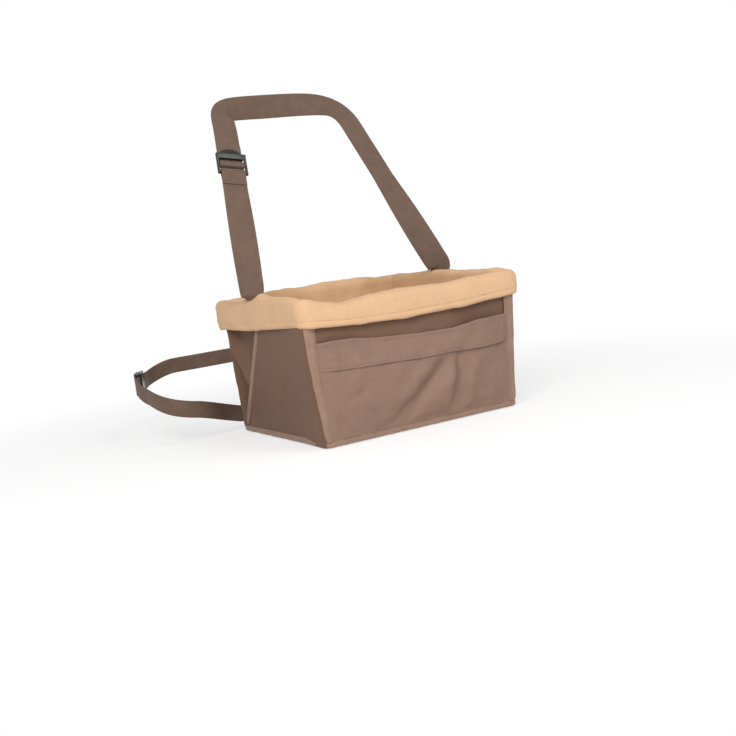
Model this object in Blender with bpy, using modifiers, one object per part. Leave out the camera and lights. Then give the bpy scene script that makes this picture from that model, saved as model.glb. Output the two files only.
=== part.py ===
# A hanging booster basket for a small dog: a stiffened fabric tub with a fleece liner
# folded over its rim, hung by a webbing loop and drawn back by a webbing belt with a
# side-release buckle.
# Metres, +Z up, +X to the right, +Y to the rear. The origin is the middle of the loop's
# rear run, by which the basket hangs.

from math import cos, pi, radians, sin

import bmesh
import bpy
from mathutils import Matrix, Vector
from mathutils.geometry import interpolate_bezier

# Clearances, and the angle at which shading breaks
GAP = 0.0003
CUT_OVERRUN = 0.002
WELD = 0.0000005
SHARP_ANGLE = radians(35)

# Tub
WIDTH = 0.325
DEPTH = 0.299
HEIGHT = 0.198
BOTTOM_TAPER = 0.0085
BACK_NARROWING = 0.0078

# Layers of the wall and the floor
FABRIC = 0.0014
BOARD = 0.003
BASE_BOARD = 0.004
BOARD_TOP_DROP = 0.014
FLEECE = 0.005
PAD_EDGE = 0.009
PAD_CROWN = 0.009
PAD_DRAW_IN = 0.004
PAD_CUTS = 9

# Side walls: the sloping seam between the stiff panel and the soft rear gusset
SEAM_TOP_SHARE = 0.54
SEAM_FOOT = 0.014

# Folded welts sewn along the edges
WELT = 0.0022
FRONT_WELT_TOP = 0.016
FRONT_WELT_FOOT = 0.009
BASE_WELT = 0.009
SIDE_WELT = 0.008

# Front pocket
POCKET_BELOW_CUFF = 0.024
POCKET_GAPE = 0.008
POCKET_CELLS = 10
POCKET_HEM = 0.036
POCKET_HEM_PLY = 0.001
GAPE_POWER_SHARE = 0.5

# Fleece cuff folded out over the rim
CUFF = 0.008
CUFF_DROP = 0.040
CUFF_STANDOFF = 0.0024
CUFF_ROUNDING = 0.0035
CUFF_TURN_SHARES = (0, 0.5, 1)

# Shoulder webbing and the loop that the basket hangs by
SHOULDER_WEB = 0.038
WEB = 0.0014
STRAP_SHARE = 0.46
STRAP_ROOT = 0.034
STRAP_RISE = 0.012
SLIT_EASE = 0.001
HEADREST_LEFT = 0.098
HEADREST_RIGHT = 0.122
HEADREST_SETBACK = 0.012
HEADREST_RISE = 0.254
LOOP_SETBACK = 0.075
LOOP_RISE = 0.302
LOOP_HANDLE_UP = 0.055
LOOP_HANDLE_ACROSS = 0.090
LOOP_STATIONS = 14
STRAP_STATIONS = 12
SEWN_STATIONS = 3
TWIST_END_SHARE = 0.62

# Ladder lock, measured up the strap from its sewn bar
LOCK_DISTANCE = 0.219
LOCK_BAR = 0.005
LOCK_WIDTH = 0.050
LOCK_INSIDE = 0.0395
LOCK_THICK = 0.0045
LOCK_SIDE_FOOT = 0.004
GRIP_BAR_START = 0.0105
GRIP_BAR_END = 0.0165
GRIP_BAR_THICK = 0.0036
TOP_BAR_START = 0.0240
TOP_BAR_END = 0.0340
TAB_REACH = 0.012
TAB_HALF = 0.0185
TAB_THICK = 0.0028
TAB_LIFT = radians(20)
TAB_ARC_STEPS = 12
LOCK_EDGE = 0.0008
BAR_SIDES = 12
HEM_LENGTH = 0.030
HEM_SEAM = 0.013
TAIL_LENGTH = 0.054
TILT_EASE = 0.0012
BEND_STEPS = 6
FOOT_WRAP_DEGREES = 110

# Waist belt
BELT_WEB = 0.025
BELT_ROOT_RISE = 0.026
BOLSTER_RISE = 0.048
BELT_REAR_RISE = 0.098
BOLSTER_HALF = 0.222
BOLSTER_FORWARD = 0.026
BELT_HALF = 0.276
BELT_SIDE_SETBACK = 0.045
BELT_REAR_SETBACK = 0.222
BELT_CORNER = 0.055
BELT_STATIONS = 10
TAIL_END_HALF = 0.165
CORNER_HANDLE_SHARE = 0.55

# Side-release buckle, measured from the mouth of the socket along its slide
BUCKLE_INSET = 0.008
BUCKLE_SETBACK = 0.112
BUCKLE_TURN = radians(65)
SOCKET_LENGTH = 0.040
SOCKET_HEIGHT = 0.036
SOCKET_THICK = 0.012
SOCKET_WALL = 0.0026
SOCKET_END_WALL = 0.0035
YOKE_THICK = 0.0045
YOKE_SLOT = 0.006
YOKE_BAR = 0.003
WINDOW_START = 0.0115
WINDOW_LENGTH = 0.0150
BUCKLE_EDGE = 0.0012
YOKE_EDGE = 0.0006
PLUG_NECK = 0.008
PLUG_HEIGHT = 0.034
PLUG_THICK = 0.009
PLUG_SLOT = 0.0045
PLUG_GRIP = 0.004
PLUG_END_BAR = 0.0045
PRONG_HALF = 0.0025
PRONG_THICK = 0.0056
PRONG_TIP_EASE = 0.003
ARM_ROOT_RISE = 0.0075
ARM_WIDTH = 0.0038
ARM_THICK = 0.0062
LUG_EASE = 0.0005
LUG_LAND = 0.0035
LUG_RECESS = 0.0002
BELT_HEM = 0.022
BELT_SEAM = 0.010
BELT_TAIL = 0.024

# Ring inside the back wall that takes a tether's clip
RING_WIRE = 0.003
RING_WIDTH = 0.026
RING_DROP = 0.022
RING_HEIGHT = 0.128
RING_ARC_STEPS = 14
RING_SIDES = 8
TAB_WEB = 0.015
TAB_LENGTH = 0.028

PARTS = "dog_booster_basket"
CUTTERS = "cutters"

TAUPE = (0.30, 0.215, 0.16)
WEBBING = (0.19, 0.12, 0.09)
FLEECE_TAN = (0.80, 0.54, 0.33)
BOARD_GREY = (0.35, 0.35, 0.34)
PLASTIC_BLACK = (0.02, 0.018, 0.017)
STEEL = (0.62, 0.62, 0.62)


def clear_scene():
    for item in list(bpy.data.objects):
        bpy.data.objects.remove(item, do_unlink=True)


def collection(name):
    group = bpy.data.collections.new(name)
    bpy.context.scene.collection.children.link(group)
    return group


def material(name, colour, roughness, metallic):
    finish = bpy.data.materials.new(name)
    finish.use_nodes = True
    shader = finish.node_tree.nodes["Principled BSDF"]
    shader.inputs["Base Color"].default_value = (*colour, 1)
    shader.inputs["Roughness"].default_value = roughness
    shader.inputs["Metallic"].default_value = metallic
    return finish


def add_object(name, bm, finish, parent):
    mesh = bpy.data.meshes.new(name)
    bm.to_mesh(mesh)
    bm.free()
    mesh.shade_smooth()
    mesh.set_sharp_from_angle(angle=SHARP_ANGLE)
    item = bpy.data.objects.new(name, mesh)
    item.parent = parent
    if finish is None:
        bpy.data.collections[CUTTERS].objects.link(item)
        item.hide_render = True
        item.display_type = "WIRE"
    else:
        bpy.data.collections[PARTS].objects.link(item)
        mesh.materials.append(material(name, *finish))
    return item


def add_empty(name, matrix, parent):
    item = bpy.data.objects.new(name, None)
    bpy.data.collections[PARTS].objects.link(item)
    item.parent = parent
    item.matrix_local = matrix
    return item


def box(name, low, high, finish, parent, edge=0):
    bm = bmesh.new()
    bmesh.ops.create_cube(bm, size=1)
    low = Vector(low)
    high = Vector(high)
    for vert in bm.verts:
        vert.co = Vector([low[k] + (vert.co[k] + 0.5) * (high[k] - low[k]) for k in range(3)])
    item = add_object(name, bm, finish, parent)
    if edge:
        bevel = item.modifiers.new("edge", "BEVEL")
        bevel.width = edge
        bevel.segments = 2
    return item


def cut(item, cutter):
    boolean = item.modifiers.new(cutter.name, "BOOLEAN")
    boolean.operation = "DIFFERENCE"
    boolean.solver = "EXACT"
    boolean.object = cutter


def join(item, other):
    boolean = item.modifiers.new(other.name, "BOOLEAN")
    boolean.operation = "UNION"
    boolean.solver = "EXACT"
    boolean.object = other


def patch(name, corners, thick, finish, parent, cells=(1, 1), lift=None):
    # A sheet over four corners, low left, low right, high right and high left as seen from
    # outside. It gets its thickness on the inner side. lift(u, v) moves it outwards.
    low_left, low_right, high_right, high_left = [Vector(c) for c in corners]
    outward = (low_right - low_left).cross(high_left - low_left).normalized()
    bm = bmesh.new()
    bmesh.ops.create_grid(bm, x_segments=cells[0], y_segments=cells[1], size=0.5)
    for vert in bm.verts:
        u = vert.co.x + 0.5
        v = vert.co.y + 0.5
        place = low_left.lerp(low_right, u).lerp(high_left.lerp(high_right, u), v)
        if lift:
            place += outward * lift(u, v)
        vert.co = place
    item = add_object(name, bm, finish, parent)
    solid = item.modifiers.new("thickness", "SOLIDIFY")
    solid.thickness = thick
    solid.offset = -1
    return item


def sweep(name, sections, finish, parent):
    # A closed solid that runs through like sections, extruded from one to the next.
    bm = bmesh.new()
    loop = [bm.verts.new(point) for point in sections[0]]
    bm.faces.new(loop)
    for section in sections[1:]:
        edges = [bm.edges.get(pair) for pair in zip(loop, loop[1:] + loop[:1])]
        grown = bmesh.ops.extrude_edge_only(bm, edges=edges)
        fresh = [g for g in grown["geom"] if isinstance(g, bmesh.types.BMVert)]
        loop = [min(fresh, key=lambda new: (new.co - old.co).length) for old in loop]
        for vert, point in zip(loop, section):
            vert.co = point
    bm.faces.new(loop)
    bmesh.ops.remove_doubles(bm, verts=bm.verts, dist=WELD)
    bmesh.ops.recalc_face_normals(bm, faces=bm.faces)
    return add_object(name, bm, finish, parent)


def ribbon(name, stations, width, finish, parent):
    # Webbing: each station is a point and the direction of its width.
    sections = []
    for k, (point, across) in enumerate(stations):
        before = stations[max(k - 1, 0)][0]
        after = stations[min(k + 1, len(stations) - 1)][0]
        along = (after - before).normalized()
        side = (across - along * across.dot(along)).normalized()
        face = side.cross(along)
        half_width = side * (width / 2)
        half_thick = face * (WEB / 2)
        sections.append([
            point - half_width - half_thick,
            point + half_width - half_thick,
            point + half_width + half_thick,
            point - half_width + half_thick,
        ])
    return sweep(name, sections, finish, parent)


def half_width(y, z):
    return WIDTH / 2 - BOTTOM_TAPER * (1 - z / HEIGHT) - BACK_NARROWING * (1 + y / DEPTH)


def tub_point(side, y, z, inset):
    return Vector((side * (half_width(y, z) - inset), y, z))


def wall_corners(wall, inset, thick, low, high):
    # The outer face of one layer of a wall. The front and the back layer run the full
    # width, and the side layers fit between them.
    front = -DEPTH + inset
    back = -inset
    side_front = front + thick + GAP
    side_back = back - thick - GAP
    ends = {
        "front": ((-1, front), (1, front)),
        "back": ((1, back), (-1, back)),
        "left": ((-1, side_back), (-1, side_front)),
        "right": ((1, side_front), (1, side_back)),
    }[wall]
    (side_a, y_a), (side_b, y_b) = ends
    return [
        tub_point(side_a, y_a, low, inset),
        tub_point(side_b, y_b, low, inset),
        tub_point(side_b, y_b, high, inset),
        tub_point(side_a, y_a, high, inset),
    ]


FABRIC_FINISH = (TAUPE, 0.8, 0)
WEB_FINISH = (WEBBING, 0.65, 0)
FLEECE_FINISH = (FLEECE_TAN, 0.95, 0)
BOARD_FINISH = (BOARD_GREY, 0.6, 0)
PLASTIC_FINISH = (PLASTIC_BLACK, 0.35, 0)
STEEL_FINISH = (STEEL, 0.3, 1)

SHELL_FLOOR = FABRIC + GAP
BOARD_INSET = FABRIC + GAP
WALL_BOARD_LOW = SHELL_FLOOR + BASE_BOARD + GAP
LINER_INSET = BOARD_INSET + BOARD + GAP
POCKET_TOP = HEIGHT - CUFF_DROP - POCKET_BELOW_CUFF


def seam_y(z):
    # The sloping side seam runs from the rear foot up and forwards to the strap.
    top = -SEAM_TOP_SHARE * DEPTH
    foot = -FABRIC - SEAM_FOOT
    return foot + (top - foot) * z / HEIGHT


def build_shell(bag):
    low = SHELL_FLOOR
    patch("front_panel", wall_corners("front", 0, FABRIC, low, HEIGHT), FABRIC, FABRIC_FINISH, bag)
    patch("back_panel", wall_corners("back", 0, FABRIC, low, HEIGHT), FABRIC, FABRIC_FINISH, bag)
    patch("base_panel", base_corners(0, 0), FABRIC, FABRIC_FINISH, bag)
    for side, word in ((-1, "left"), (1, "right")):
        full = wall_corners(word, 0, FABRIC, low, HEIGHT)
        front_y = -DEPTH + FABRIC + GAP
        back_y = -FABRIC - GAP
        main = [
            tub_point(side, seam_y(low), low, 0),
            tub_point(side, front_y, low, 0),
            tub_point(side, front_y, HEIGHT, 0),
            tub_point(side, seam_y(HEIGHT), HEIGHT, 0),
        ]
        gusset = [
            tub_point(side, back_y, low, 0),
            tub_point(side, seam_y(low) + GAP, low, 0),
            tub_point(side, seam_y(HEIGHT) + GAP, HEIGHT, 0),
            full[3] if side < 0 else full[2],
        ]
        if side > 0:
            main = [main[1], main[0], main[3], main[2]]
            gusset = [gusset[1], gusset[0], gusset[3], gusset[2]]
        patch("side_panel_" + word, main, FABRIC, FABRIC_FINISH, bag)
        patch("rear_gusset_" + word, gusset, FABRIC, FABRIC_FINISH, bag)


def base_corners(inset, z):
    # A floor layer seen from below.
    return [
        tub_point(1, -DEPTH + inset, z, inset),
        tub_point(-1, -DEPTH + inset, z, inset),
        tub_point(-1, -inset, z, inset),
        tub_point(1, -inset, z, inset),
    ]


def build_boards(bag):
    # The stiffeners stop short of the rim, which is soft and can sag.
    high = HEIGHT - BOARD_TOP_DROP
    for wall, name in (("front", "front_board"), ("back", "back_board")):
        corners = wall_corners(wall, BOARD_INSET, BOARD, WALL_BOARD_LOW, high)
        patch(name, corners, BOARD, BOARD_FINISH, bag)
    for side, word in ((-1, "left"), (1, "right")):
        front_y = -DEPTH + BOARD_INSET + BOARD + GAP
        corners = [
            tub_point(side, seam_y(WALL_BOARD_LOW), WALL_BOARD_LOW, BOARD_INSET),
            tub_point(side, front_y, WALL_BOARD_LOW, BOARD_INSET),
            tub_point(side, front_y, high, BOARD_INSET),
            tub_point(side, seam_y(high), high, BOARD_INSET),
        ]
        if side > 0:
            corners = [corners[1], corners[0], corners[3], corners[2]]
        patch("side_board_" + word, corners, BOARD, BOARD_FINISH, bag)
    patch("base_board", base_corners(BOARD_INSET, SHELL_FLOOR), BASE_BOARD, BOARD_FINISH, bag)


def build_welts(bag):
    front = -DEPTH - GAP - WELT
    for side, word in ((-1, "left"), (1, "right")):
        foot_z = BASE_WELT + GAP
        top_z = HEIGHT - CUFF_DROP - GAP
        outer_foot = tub_point(side, front, foot_z, 0)
        outer_top = tub_point(side, front, top_z, 0)
        inner_foot = outer_foot - Vector((side * FRONT_WELT_FOOT, 0, 0))
        inner_top = outer_top - Vector((side * FRONT_WELT_TOP, 0, 0))
        corners = [outer_foot, inner_foot, inner_top, outer_top]
        if side > 0:
            corners = [inner_foot, outer_foot, outer_top, inner_top]
        patch("front_welt_" + word, corners, WELT, FABRIC_FINISH, bag)

        foot_z = SHELL_FLOOR + BASE_WELT + GAP
        corners = []
        for z, shift in ((foot_z, SIDE_WELT), (foot_z, 0), (top_z, 0), (top_z, SIDE_WELT)):
            corners.append(tub_point(side, seam_y(z) - SIDE_WELT / 2 + shift, z, -GAP - WELT))
        if side > 0:
            corners = [corners[1], corners[0], corners[3], corners[2]]
        patch("side_welt_" + word, corners, WELT, FABRIC_FINISH, bag)

        corners = []
        for y, z in ((-GAP, 0), (-DEPTH, 0), (-DEPTH, BASE_WELT), (-GAP, BASE_WELT)):
            corners.append(tub_point(side, y, SHELL_FLOOR + z, -GAP - WELT))
        if side > 0:
            corners = [corners[1], corners[0], corners[3], corners[2]]
        patch("base_welt_" + word, corners, WELT, FABRIC_FINISH, bag)
    corners = [
        tub_point(-1, front, 0, 0),
        tub_point(1, front, 0, 0),
        tub_point(1, front, BASE_WELT, 0),
        tub_point(-1, front, BASE_WELT, 0),
    ]
    patch("base_welt_front", corners, WELT, FABRIC_FINISH, bag)


def pocket_gape(u, v):
    # Sewn flat at the sides and the foot, and standing open along the mouth.
    across = 1 - (2 * u - 1) ** 4
    return POCKET_GAPE * across * v ** GAPE_POWER_SHARE


def pocket_corners(low, high, proud):
    front = -DEPTH - GAP - proud
    left_low = tub_point(-1, front, low, -GAP) + Vector((welt_width(low) + GAP + GAP, 0, 0))
    right_low = tub_point(1, front, low, -GAP) - Vector((welt_width(low) + GAP + GAP, 0, 0))
    left_high = tub_point(-1, front, high, -GAP) + Vector((welt_width(high) + GAP + GAP, 0, 0))
    right_high = tub_point(1, front, high, -GAP) - Vector((welt_width(high) + GAP + GAP, 0, 0))
    return [left_low, right_low, right_high, left_high]


def welt_width(z):
    top_z = HEIGHT - CUFF_DROP - GAP
    return FRONT_WELT_FOOT + (FRONT_WELT_TOP - FRONT_WELT_FOOT) * z / top_z


def build_pocket(bag):
    low = BASE_WELT + GAP
    cells = (POCKET_CELLS, POCKET_CELLS)
    corners = pocket_corners(low, POCKET_TOP, FABRIC)
    patch("front_pocket", corners, FABRIC, FABRIC_FINISH, bag, cells, pocket_gape)
    hem_low = POCKET_TOP - POCKET_HEM
    hem_share = (hem_low - low) / (POCKET_TOP - low)

    def hem_gape(u, v):
        return pocket_gape(u, hem_share + v * (1 - hem_share))

    corners = pocket_corners(hem_low, POCKET_TOP, FABRIC + GAP + GAP + POCKET_HEM_PLY)
    patch("pocket_hem", corners, POCKET_HEM_PLY, FABRIC_FINISH, bag, cells, hem_gape)


def build_liner(bag):
    low = WALL_BOARD_LOW
    for wall in ("front", "back", "left", "right"):
        corners = wall_corners(wall, LINER_INSET, FLEECE, low, HEIGHT)
        patch("liner_" + wall, corners, FLEECE, FLEECE_FINISH, bag)
    inset = LINER_INSET + FLEECE + GAP
    bm = bmesh.new()
    bmesh.ops.create_cube(bm, size=1)
    bmesh.ops.subdivide_edges(bm, edges=bm.edges, cuts=PAD_CUTS, use_grid_fill=True)
    for vert in bm.verts:
        u = vert.co.x * 2
        v = vert.co.y * 2
        draw_in = PAD_DRAW_IN
        y_mid = -DEPTH / 2
        y_half = DEPTH / 2 - inset - draw_in * (1 - u * u)
        y = y_mid + v * y_half
        x = u * (half_width(y, low) - inset - draw_in * (1 - v * v))
        crown = PAD_CROWN * (1 - u ** 4) * (1 - v ** 4)
        z = low + (vert.co.z + 0.5) * (PAD_EDGE + crown)
        vert.co = Vector((x, y, z))
    add_object("liner_floor", bm, FLEECE_FINISH, bag)


def cuff_section():
    # Offset outwards from the shell's outer face, and height above the rim.
    inside = -(LINER_INSET + FLEECE)
    outside = CUFF_STANDOFF + CUFF
    top = GAP + CUFF
    points = [(inside, GAP), (CUFF_STANDOFF, GAP), (CUFF_STANDOFF, -CUFF_DROP)]
    arcs = (
        (outside - CUFF_ROUNDING, -CUFF_DROP + CUFF_ROUNDING, -90),
        (outside - CUFF_ROUNDING, top - CUFF_ROUNDING, 0),
        (inside + CUFF_ROUNDING, top - CUFF_ROUNDING, 90),
    )
    for centre_n, centre_z, start in arcs:
        for share in CUFF_TURN_SHARES:
            angle = radians(start + 90 * share)
            points.append((centre_n + CUFF_ROUNDING * cos(angle), centre_z + CUFF_ROUNDING * sin(angle)))
    return points


def build_cuffs(bag):
    rim = [tub_point(side, y, HEIGHT, 0) for side, y in ((-1, 0), (-1, -DEPTH), (1, -DEPTH), (1, 0))]
    names = ("cuff_left", "cuff_front", "cuff_right", "cuff_back")
    profile = cuff_section()
    for k, name in enumerate(names):
        start = rim[k]
        end = rim[(k + 1) % 4]
        along = (end - start).normalized()
        outward = Vector((0, 0, -1)).cross(along)
        sections = []
        neighbours = ((rim[k - 1] - start).normalized(), (rim[(k + 2) % 4] - end).normalized())
        for corner, neighbour, sign in ((start, neighbours[0], -1), (end, neighbours[1], 1)):
            turns = [cuff_turn(corner, along, neighbour, outward, sign, share, profile)
                     for share in CUFF_TURN_SHARES]
            sections += turns[::-1] if sign < 0 else turns
        cuff = sweep(name, sections, FLEECE_FINISH, bag)
        if name in ("cuff_left", "cuff_right"):
            side = -1 if name == "cuff_left" else 1
            y = -STRAP_SHARE * DEPTH
            x = half_width(y, HEIGHT)
            half_slot = SHOULDER_WEB / 2 + SLIT_EASE
            inner = side * (x - SLIT_EASE)
            outer = side * (x + GAP + WEB + SLIT_EASE)
            slit = box("slit_" + name, (min(inner, outer), y - half_slot, HEIGHT - CUT_OVERRUN),
                       (max(inner, outer), y + half_slot, HEIGHT + CUFF + CUT_OVERRUN), None, bag)
            cut(cuff, slit)


def cuff_turn(corner, along, neighbour, outward, sign, share, profile):
    # One section of a cuff at a corner of the rim. Outside the shell it turns about the
    # corner, and over the wall it stays on the mitre between the two walls.
    beyond = along * sign
    other_outward = (beyond - neighbour * beyond.dot(neighbour)).normalized()
    mitre = (outward + other_outward).normalized()
    stretch = 1 / mitre.dot(outward)
    direction = outward.lerp(mitre, share).normalized()
    clear = -along * sign * GAP * stretch / 2
    section = []
    for n, z in profile:
        if n > 0:
            place = corner + direction * n
        else:
            place = corner + mitre * (n * stretch)
        section.append(place + clear + Vector((0, 0, z)))
    return section


def web_root(side):
    y = -STRAP_SHARE * DEPTH
    return Vector((side * (half_width(y, HEIGHT) + GAP + WEB / 2), y, HEIGHT))


def headrest_point(side):
    reach = HEADREST_RIGHT if side > 0 else -HEADREST_LEFT
    return Vector((reach, HEADREST_SETBACK, HEIGHT + HEADREST_RISE))


def strap_rise(side):
    # The stations from the sewn root under the cuff up to the foot of the loop. Both
    # straps turn the same way, so each shows its face from the front left.
    root = web_root(side)
    taper = Vector((side * BOTTOM_TAPER / HEIGHT, 0, 1))
    leave = root + Vector((0, 0, STRAP_RISE))
    end = headrest_point(side)
    level = Vector((-BACK_NARROWING / DEPTH, side, 0))
    stations = [(root - taper * STRAP_ROOT, level), (root, level), (leave, level)]
    for k in range(1, STRAP_STATIONS + 1):
        share = k / STRAP_STATIONS
        turn = min(share / TWIST_END_SHARE, 1) * pi / 2
        across = Vector((-side * sin(turn), side * cos(turn), 0))
        stations.append((leave.lerp(end, share), across))
    return stations


def strap_direction(side):
    leave = web_root(side) + Vector((0, 0, STRAP_RISE))
    return (headrest_point(side) - leave).normalized()


def lock_frame():
    # x across the webbing, y up the strap, z out of its front face.
    up = strap_direction(-1)
    leave = web_root(-1) + Vector((0, 0, STRAP_RISE))
    across = Vector((1, 0, 0))
    across = (across - up * across.dot(up)).normalized()
    out = across.cross(up)
    frame = Matrix((across, up, out)).transposed().to_4x4()
    frame.translation = leave + up * LOCK_DISTANCE
    return frame


BIGHT_BACK = -(LOCK_THICK / 2 + GAP + WEB / 2)
LOAD_BACK = BIGHT_BACK - WEB - GAP
BAR_ROUND = LOCK_BAR / 2 + GAP + WEB / 2
PLY_HALF = WEB / 2 + GAP / 2

YOKE_START = -SOCKET_LENGTH
CAVITY_START = YOKE_START + YOKE_BAR + YOKE_SLOT + SOCKET_END_WALL
PLUG_GRIP_START = PLUG_NECK + PLUG_SLOT
PLUG_GRIP_END = PLUG_GRIP_START + PLUG_GRIP
PLUG_END = PLUG_GRIP_END + PLUG_SLOT + PLUG_END_BAR
PLUG_TAIL = -(YOKE_THICK / 2 + GAP + WEB / 2)
PLUG_LOAD = PLUG_TAIL - WEB - GAP


def arc(centre, radius, start, end, steps):
    # Points (along the strap, out of its face) on an arc in degrees.
    points = []
    for k in range(steps + 1):
        angle = radians(start + (end - start) * k / steps)
        points.append((centre[0] + radius * cos(angle), centre[1] + radius * sin(angle)))
    return points


def build_shoulder_strap(bag, frame):
    # The short strap is sewn to the left wall and looped round the lock's foot bar.
    up = strap_direction(-1)
    lock_foot = frame.translation
    across = frame.col[0].to_3d()
    out = frame.col[2].to_3d()
    stations = []
    for k, (point, width) in enumerate(strap_rise(-1)):
        behind = out * PLY_HALF if k >= SEWN_STATIONS else Vector()
        if (point - lock_foot).dot(up) < -HEM_LENGTH - HEM_SEAM:
            stations.append((point - behind, width))
    stations.append((lock_foot - up * HEM_LENGTH - out * PLY_HALF, across))
    loop = [(-HEM_SEAM, -PLY_HALF)]
    loop += arc((0, 0), BAR_ROUND, -FOOT_WRAP_DEGREES, FOOT_WRAP_DEGREES, BEND_STEPS + BEND_STEPS)
    loop += [(-HEM_SEAM, PLY_HALF), (-HEM_LENGTH + HEM_SEAM / 2, PLY_HALF)]
    for along, off in loop:
        stations.append((lock_foot + up * along + out * off, across))
    ribbon("shoulder_strap_left", stations, SHOULDER_WEB, WEB_FINISH, bag)


def build_lock(pivot):
    half = LOCK_WIDTH / 2
    thick = LOCK_THICK / 2
    inside = LOCK_INSIDE / 2
    body = box("ladder_lock", (-half, -LOCK_SIDE_FOOT, -thick), (half, TOP_BAR_END, thick),
               PLASTIC_FINISH, pivot, LOCK_EDGE)
    foot_slot = box("lock_foot_slot", (-inside, -LOCK_SIDE_FOOT - CUT_OVERRUN, -LOCK_BAR),
                    (inside, GRIP_BAR_START, LOCK_BAR), None, pivot)
    grip_slot = box("lock_grip_slot", (-inside, GRIP_BAR_END, -LOCK_BAR),
                    (inside, TOP_BAR_START, LOCK_BAR), None, pivot)
    for side, word in ((-1, "back"), (1, "front")):
        low = min(side * GRIP_BAR_THICK / 2, side * LOCK_BAR)
        high = max(side * GRIP_BAR_THICK / 2, side * LOCK_BAR)
        thin = box("lock_grip_" + word, (-inside, GRIP_BAR_START - GAP, low),
                   (inside, GRIP_BAR_END + GAP, high), None, pivot)
        cut(body, thin)
    cut(body, foot_slot)
    cut(body, grip_slot)
    bar = bmesh.new()
    bmesh.ops.create_cone(bar, cap_ends=True, segments=BAR_SIDES, radius1=LOCK_BAR / 2,
                          radius2=LOCK_BAR / 2, depth=LOCK_INSIDE + CUT_OVERRUN,
                          matrix=Matrix.Rotation(pi / 2, 4, "Y"))
    join(body, add_object("lock_foot_bar", bar, None, pivot))
    outline = [(-TAB_HALF, 0)]
    for k in range(TAB_ARC_STEPS + 1):
        angle = pi - pi * k / TAB_ARC_STEPS
        outline.append((TAB_HALF * cos(angle), CUT_OVERRUN + TAB_REACH * sin(angle)))
    outline.append((TAB_HALF, 0))
    sections = []
    lift = Matrix.Translation((0, TOP_BAR_END - CUT_OVERRUN, 0)) @ Matrix.Rotation(TAB_LIFT, 4, "X")
    for height in (-TAB_THICK / 2, TAB_THICK / 2):
        sections.append([lift @ Vector((x, y, height)) for x, y in outline])
    join(body, sweep("lock_tab", sections, None, pivot))


def threaded_path(bar_start, bar_end, bar_half, load_off, tail_off, tail_end):
    # Webbing drawn up in front of a grip bar and out again as a tail. Each point is a
    # distance along the strap and a height off the middle of the bar.
    wrap = WEB / 2 + GAP
    lead = bar_start - wrap
    path = [(bar_start + WEB, load_off), (bar_start, load_off), (lead, load_off + WEB), (lead, 0)]
    path += arc((bar_start, bar_half), wrap, 180, 90, BEND_STEPS // 2)
    path += arc((bar_end, bar_half), wrap, 90, 0, BEND_STEPS // 2)
    path += [(bar_end + wrap, tail_off + WEB), (bar_end + WEB + wrap, tail_off), (tail_end, tail_off)]
    return path


def build_bight(pivot):
    # The end of the long strap: up through the lock, over its grip bar and out as a tail.
    path = threaded_path(GRIP_BAR_START, GRIP_BAR_END, GRIP_BAR_THICK / 2, LOAD_BACK, BIGHT_BACK,
                         TAIL_LENGTH)
    stations = [(Vector((0, along, off)), Vector((1, 0, 0))) for along, off in path]
    ribbon("strap_bight", stations, SHOULDER_WEB, WEB_FINISH, pivot)


def build_headrest_strap(bag, frame):
    # One long strap: from behind the lock up, round the loop, and down to the right wall.
    up = strap_direction(-1)
    out = frame.col[2].to_3d()
    across = frame.col[0].to_3d()
    behind = out * LOAD_BACK
    start = frame.translation + up * (GRIP_BAR_START + WEB + TILT_EASE) + behind
    middle = frame.translation + up * (TOP_BAR_END + TAB_REACH) + behind
    left_end = headrest_point(-1) + behind
    stations = [(start, across), (middle, across)]
    top = Vector((0, LOOP_SETBACK, HEIGHT + LOOP_RISE))
    stations += loop_turn(left_end, up, out, top, 1)
    right_end = headrest_point(1)
    down_turn = loop_turn(right_end, strap_direction(1), Vector((-out.x, out.y, out.z)), top, -1)
    stations += down_turn[::-1][1:]
    stations += strap_rise(1)[::-1][1:]
    ribbon("headrest_strap", stations, SHOULDER_WEB, WEB_FINISH, bag)


def loop_turn(end, up, out, top, sign):
    # From the foot of the loop to the middle of its rear run. The webbing's face turns
    # from its slant on the shoulder to square at the rear.
    inward = Vector((sign, 0, 0))
    points = interpolate_bezier(end, end + up * LOOP_HANDLE_UP, top - inward * LOOP_HANDLE_ACROSS,
                                top, LOOP_STATIONS)
    stations = []
    for k, point in enumerate(points):
        before = points[max(k - 1, 0)]
        after = points[min(k + 1, len(points) - 1)]
        face = out.lerp(Vector((0, -1, 0)), k / (len(points) - 1))
        stations.append((point, (after - before).cross(face) * sign))
    return stations


def belt_route(side):
    # The belt's middle line from the rear seam out to the flank and round to the back run.
    rise = BELT_REAR_RISE
    root_x = half_width(0, BELT_ROOT_RISE + BELT_WEB / 2) + GAP
    forward = Vector((side * BOLSTER_HALF, -BOLSTER_FORWARD, BOLSTER_RISE))
    flank = Vector((side * BELT_HALF, BELT_SIDE_SETBACK, (BOLSTER_RISE + rise) / 2))
    rear = Vector((side * BELT_HALF, BELT_REAR_SETBACK - BELT_CORNER, rise))
    corner = Vector((side * (BELT_HALF - BELT_CORNER), BELT_REAR_SETBACK, rise))
    root = Vector((side * root_x, -FABRIC / 2, BELT_ROOT_RISE))
    middle = Vector((0, BELT_REAR_SETBACK, rise))
    return root, forward, flank, rear, corner, middle


def upright(points):
    return [(Vector(p), Vector((0, 0, 1))) for p in points]


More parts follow.
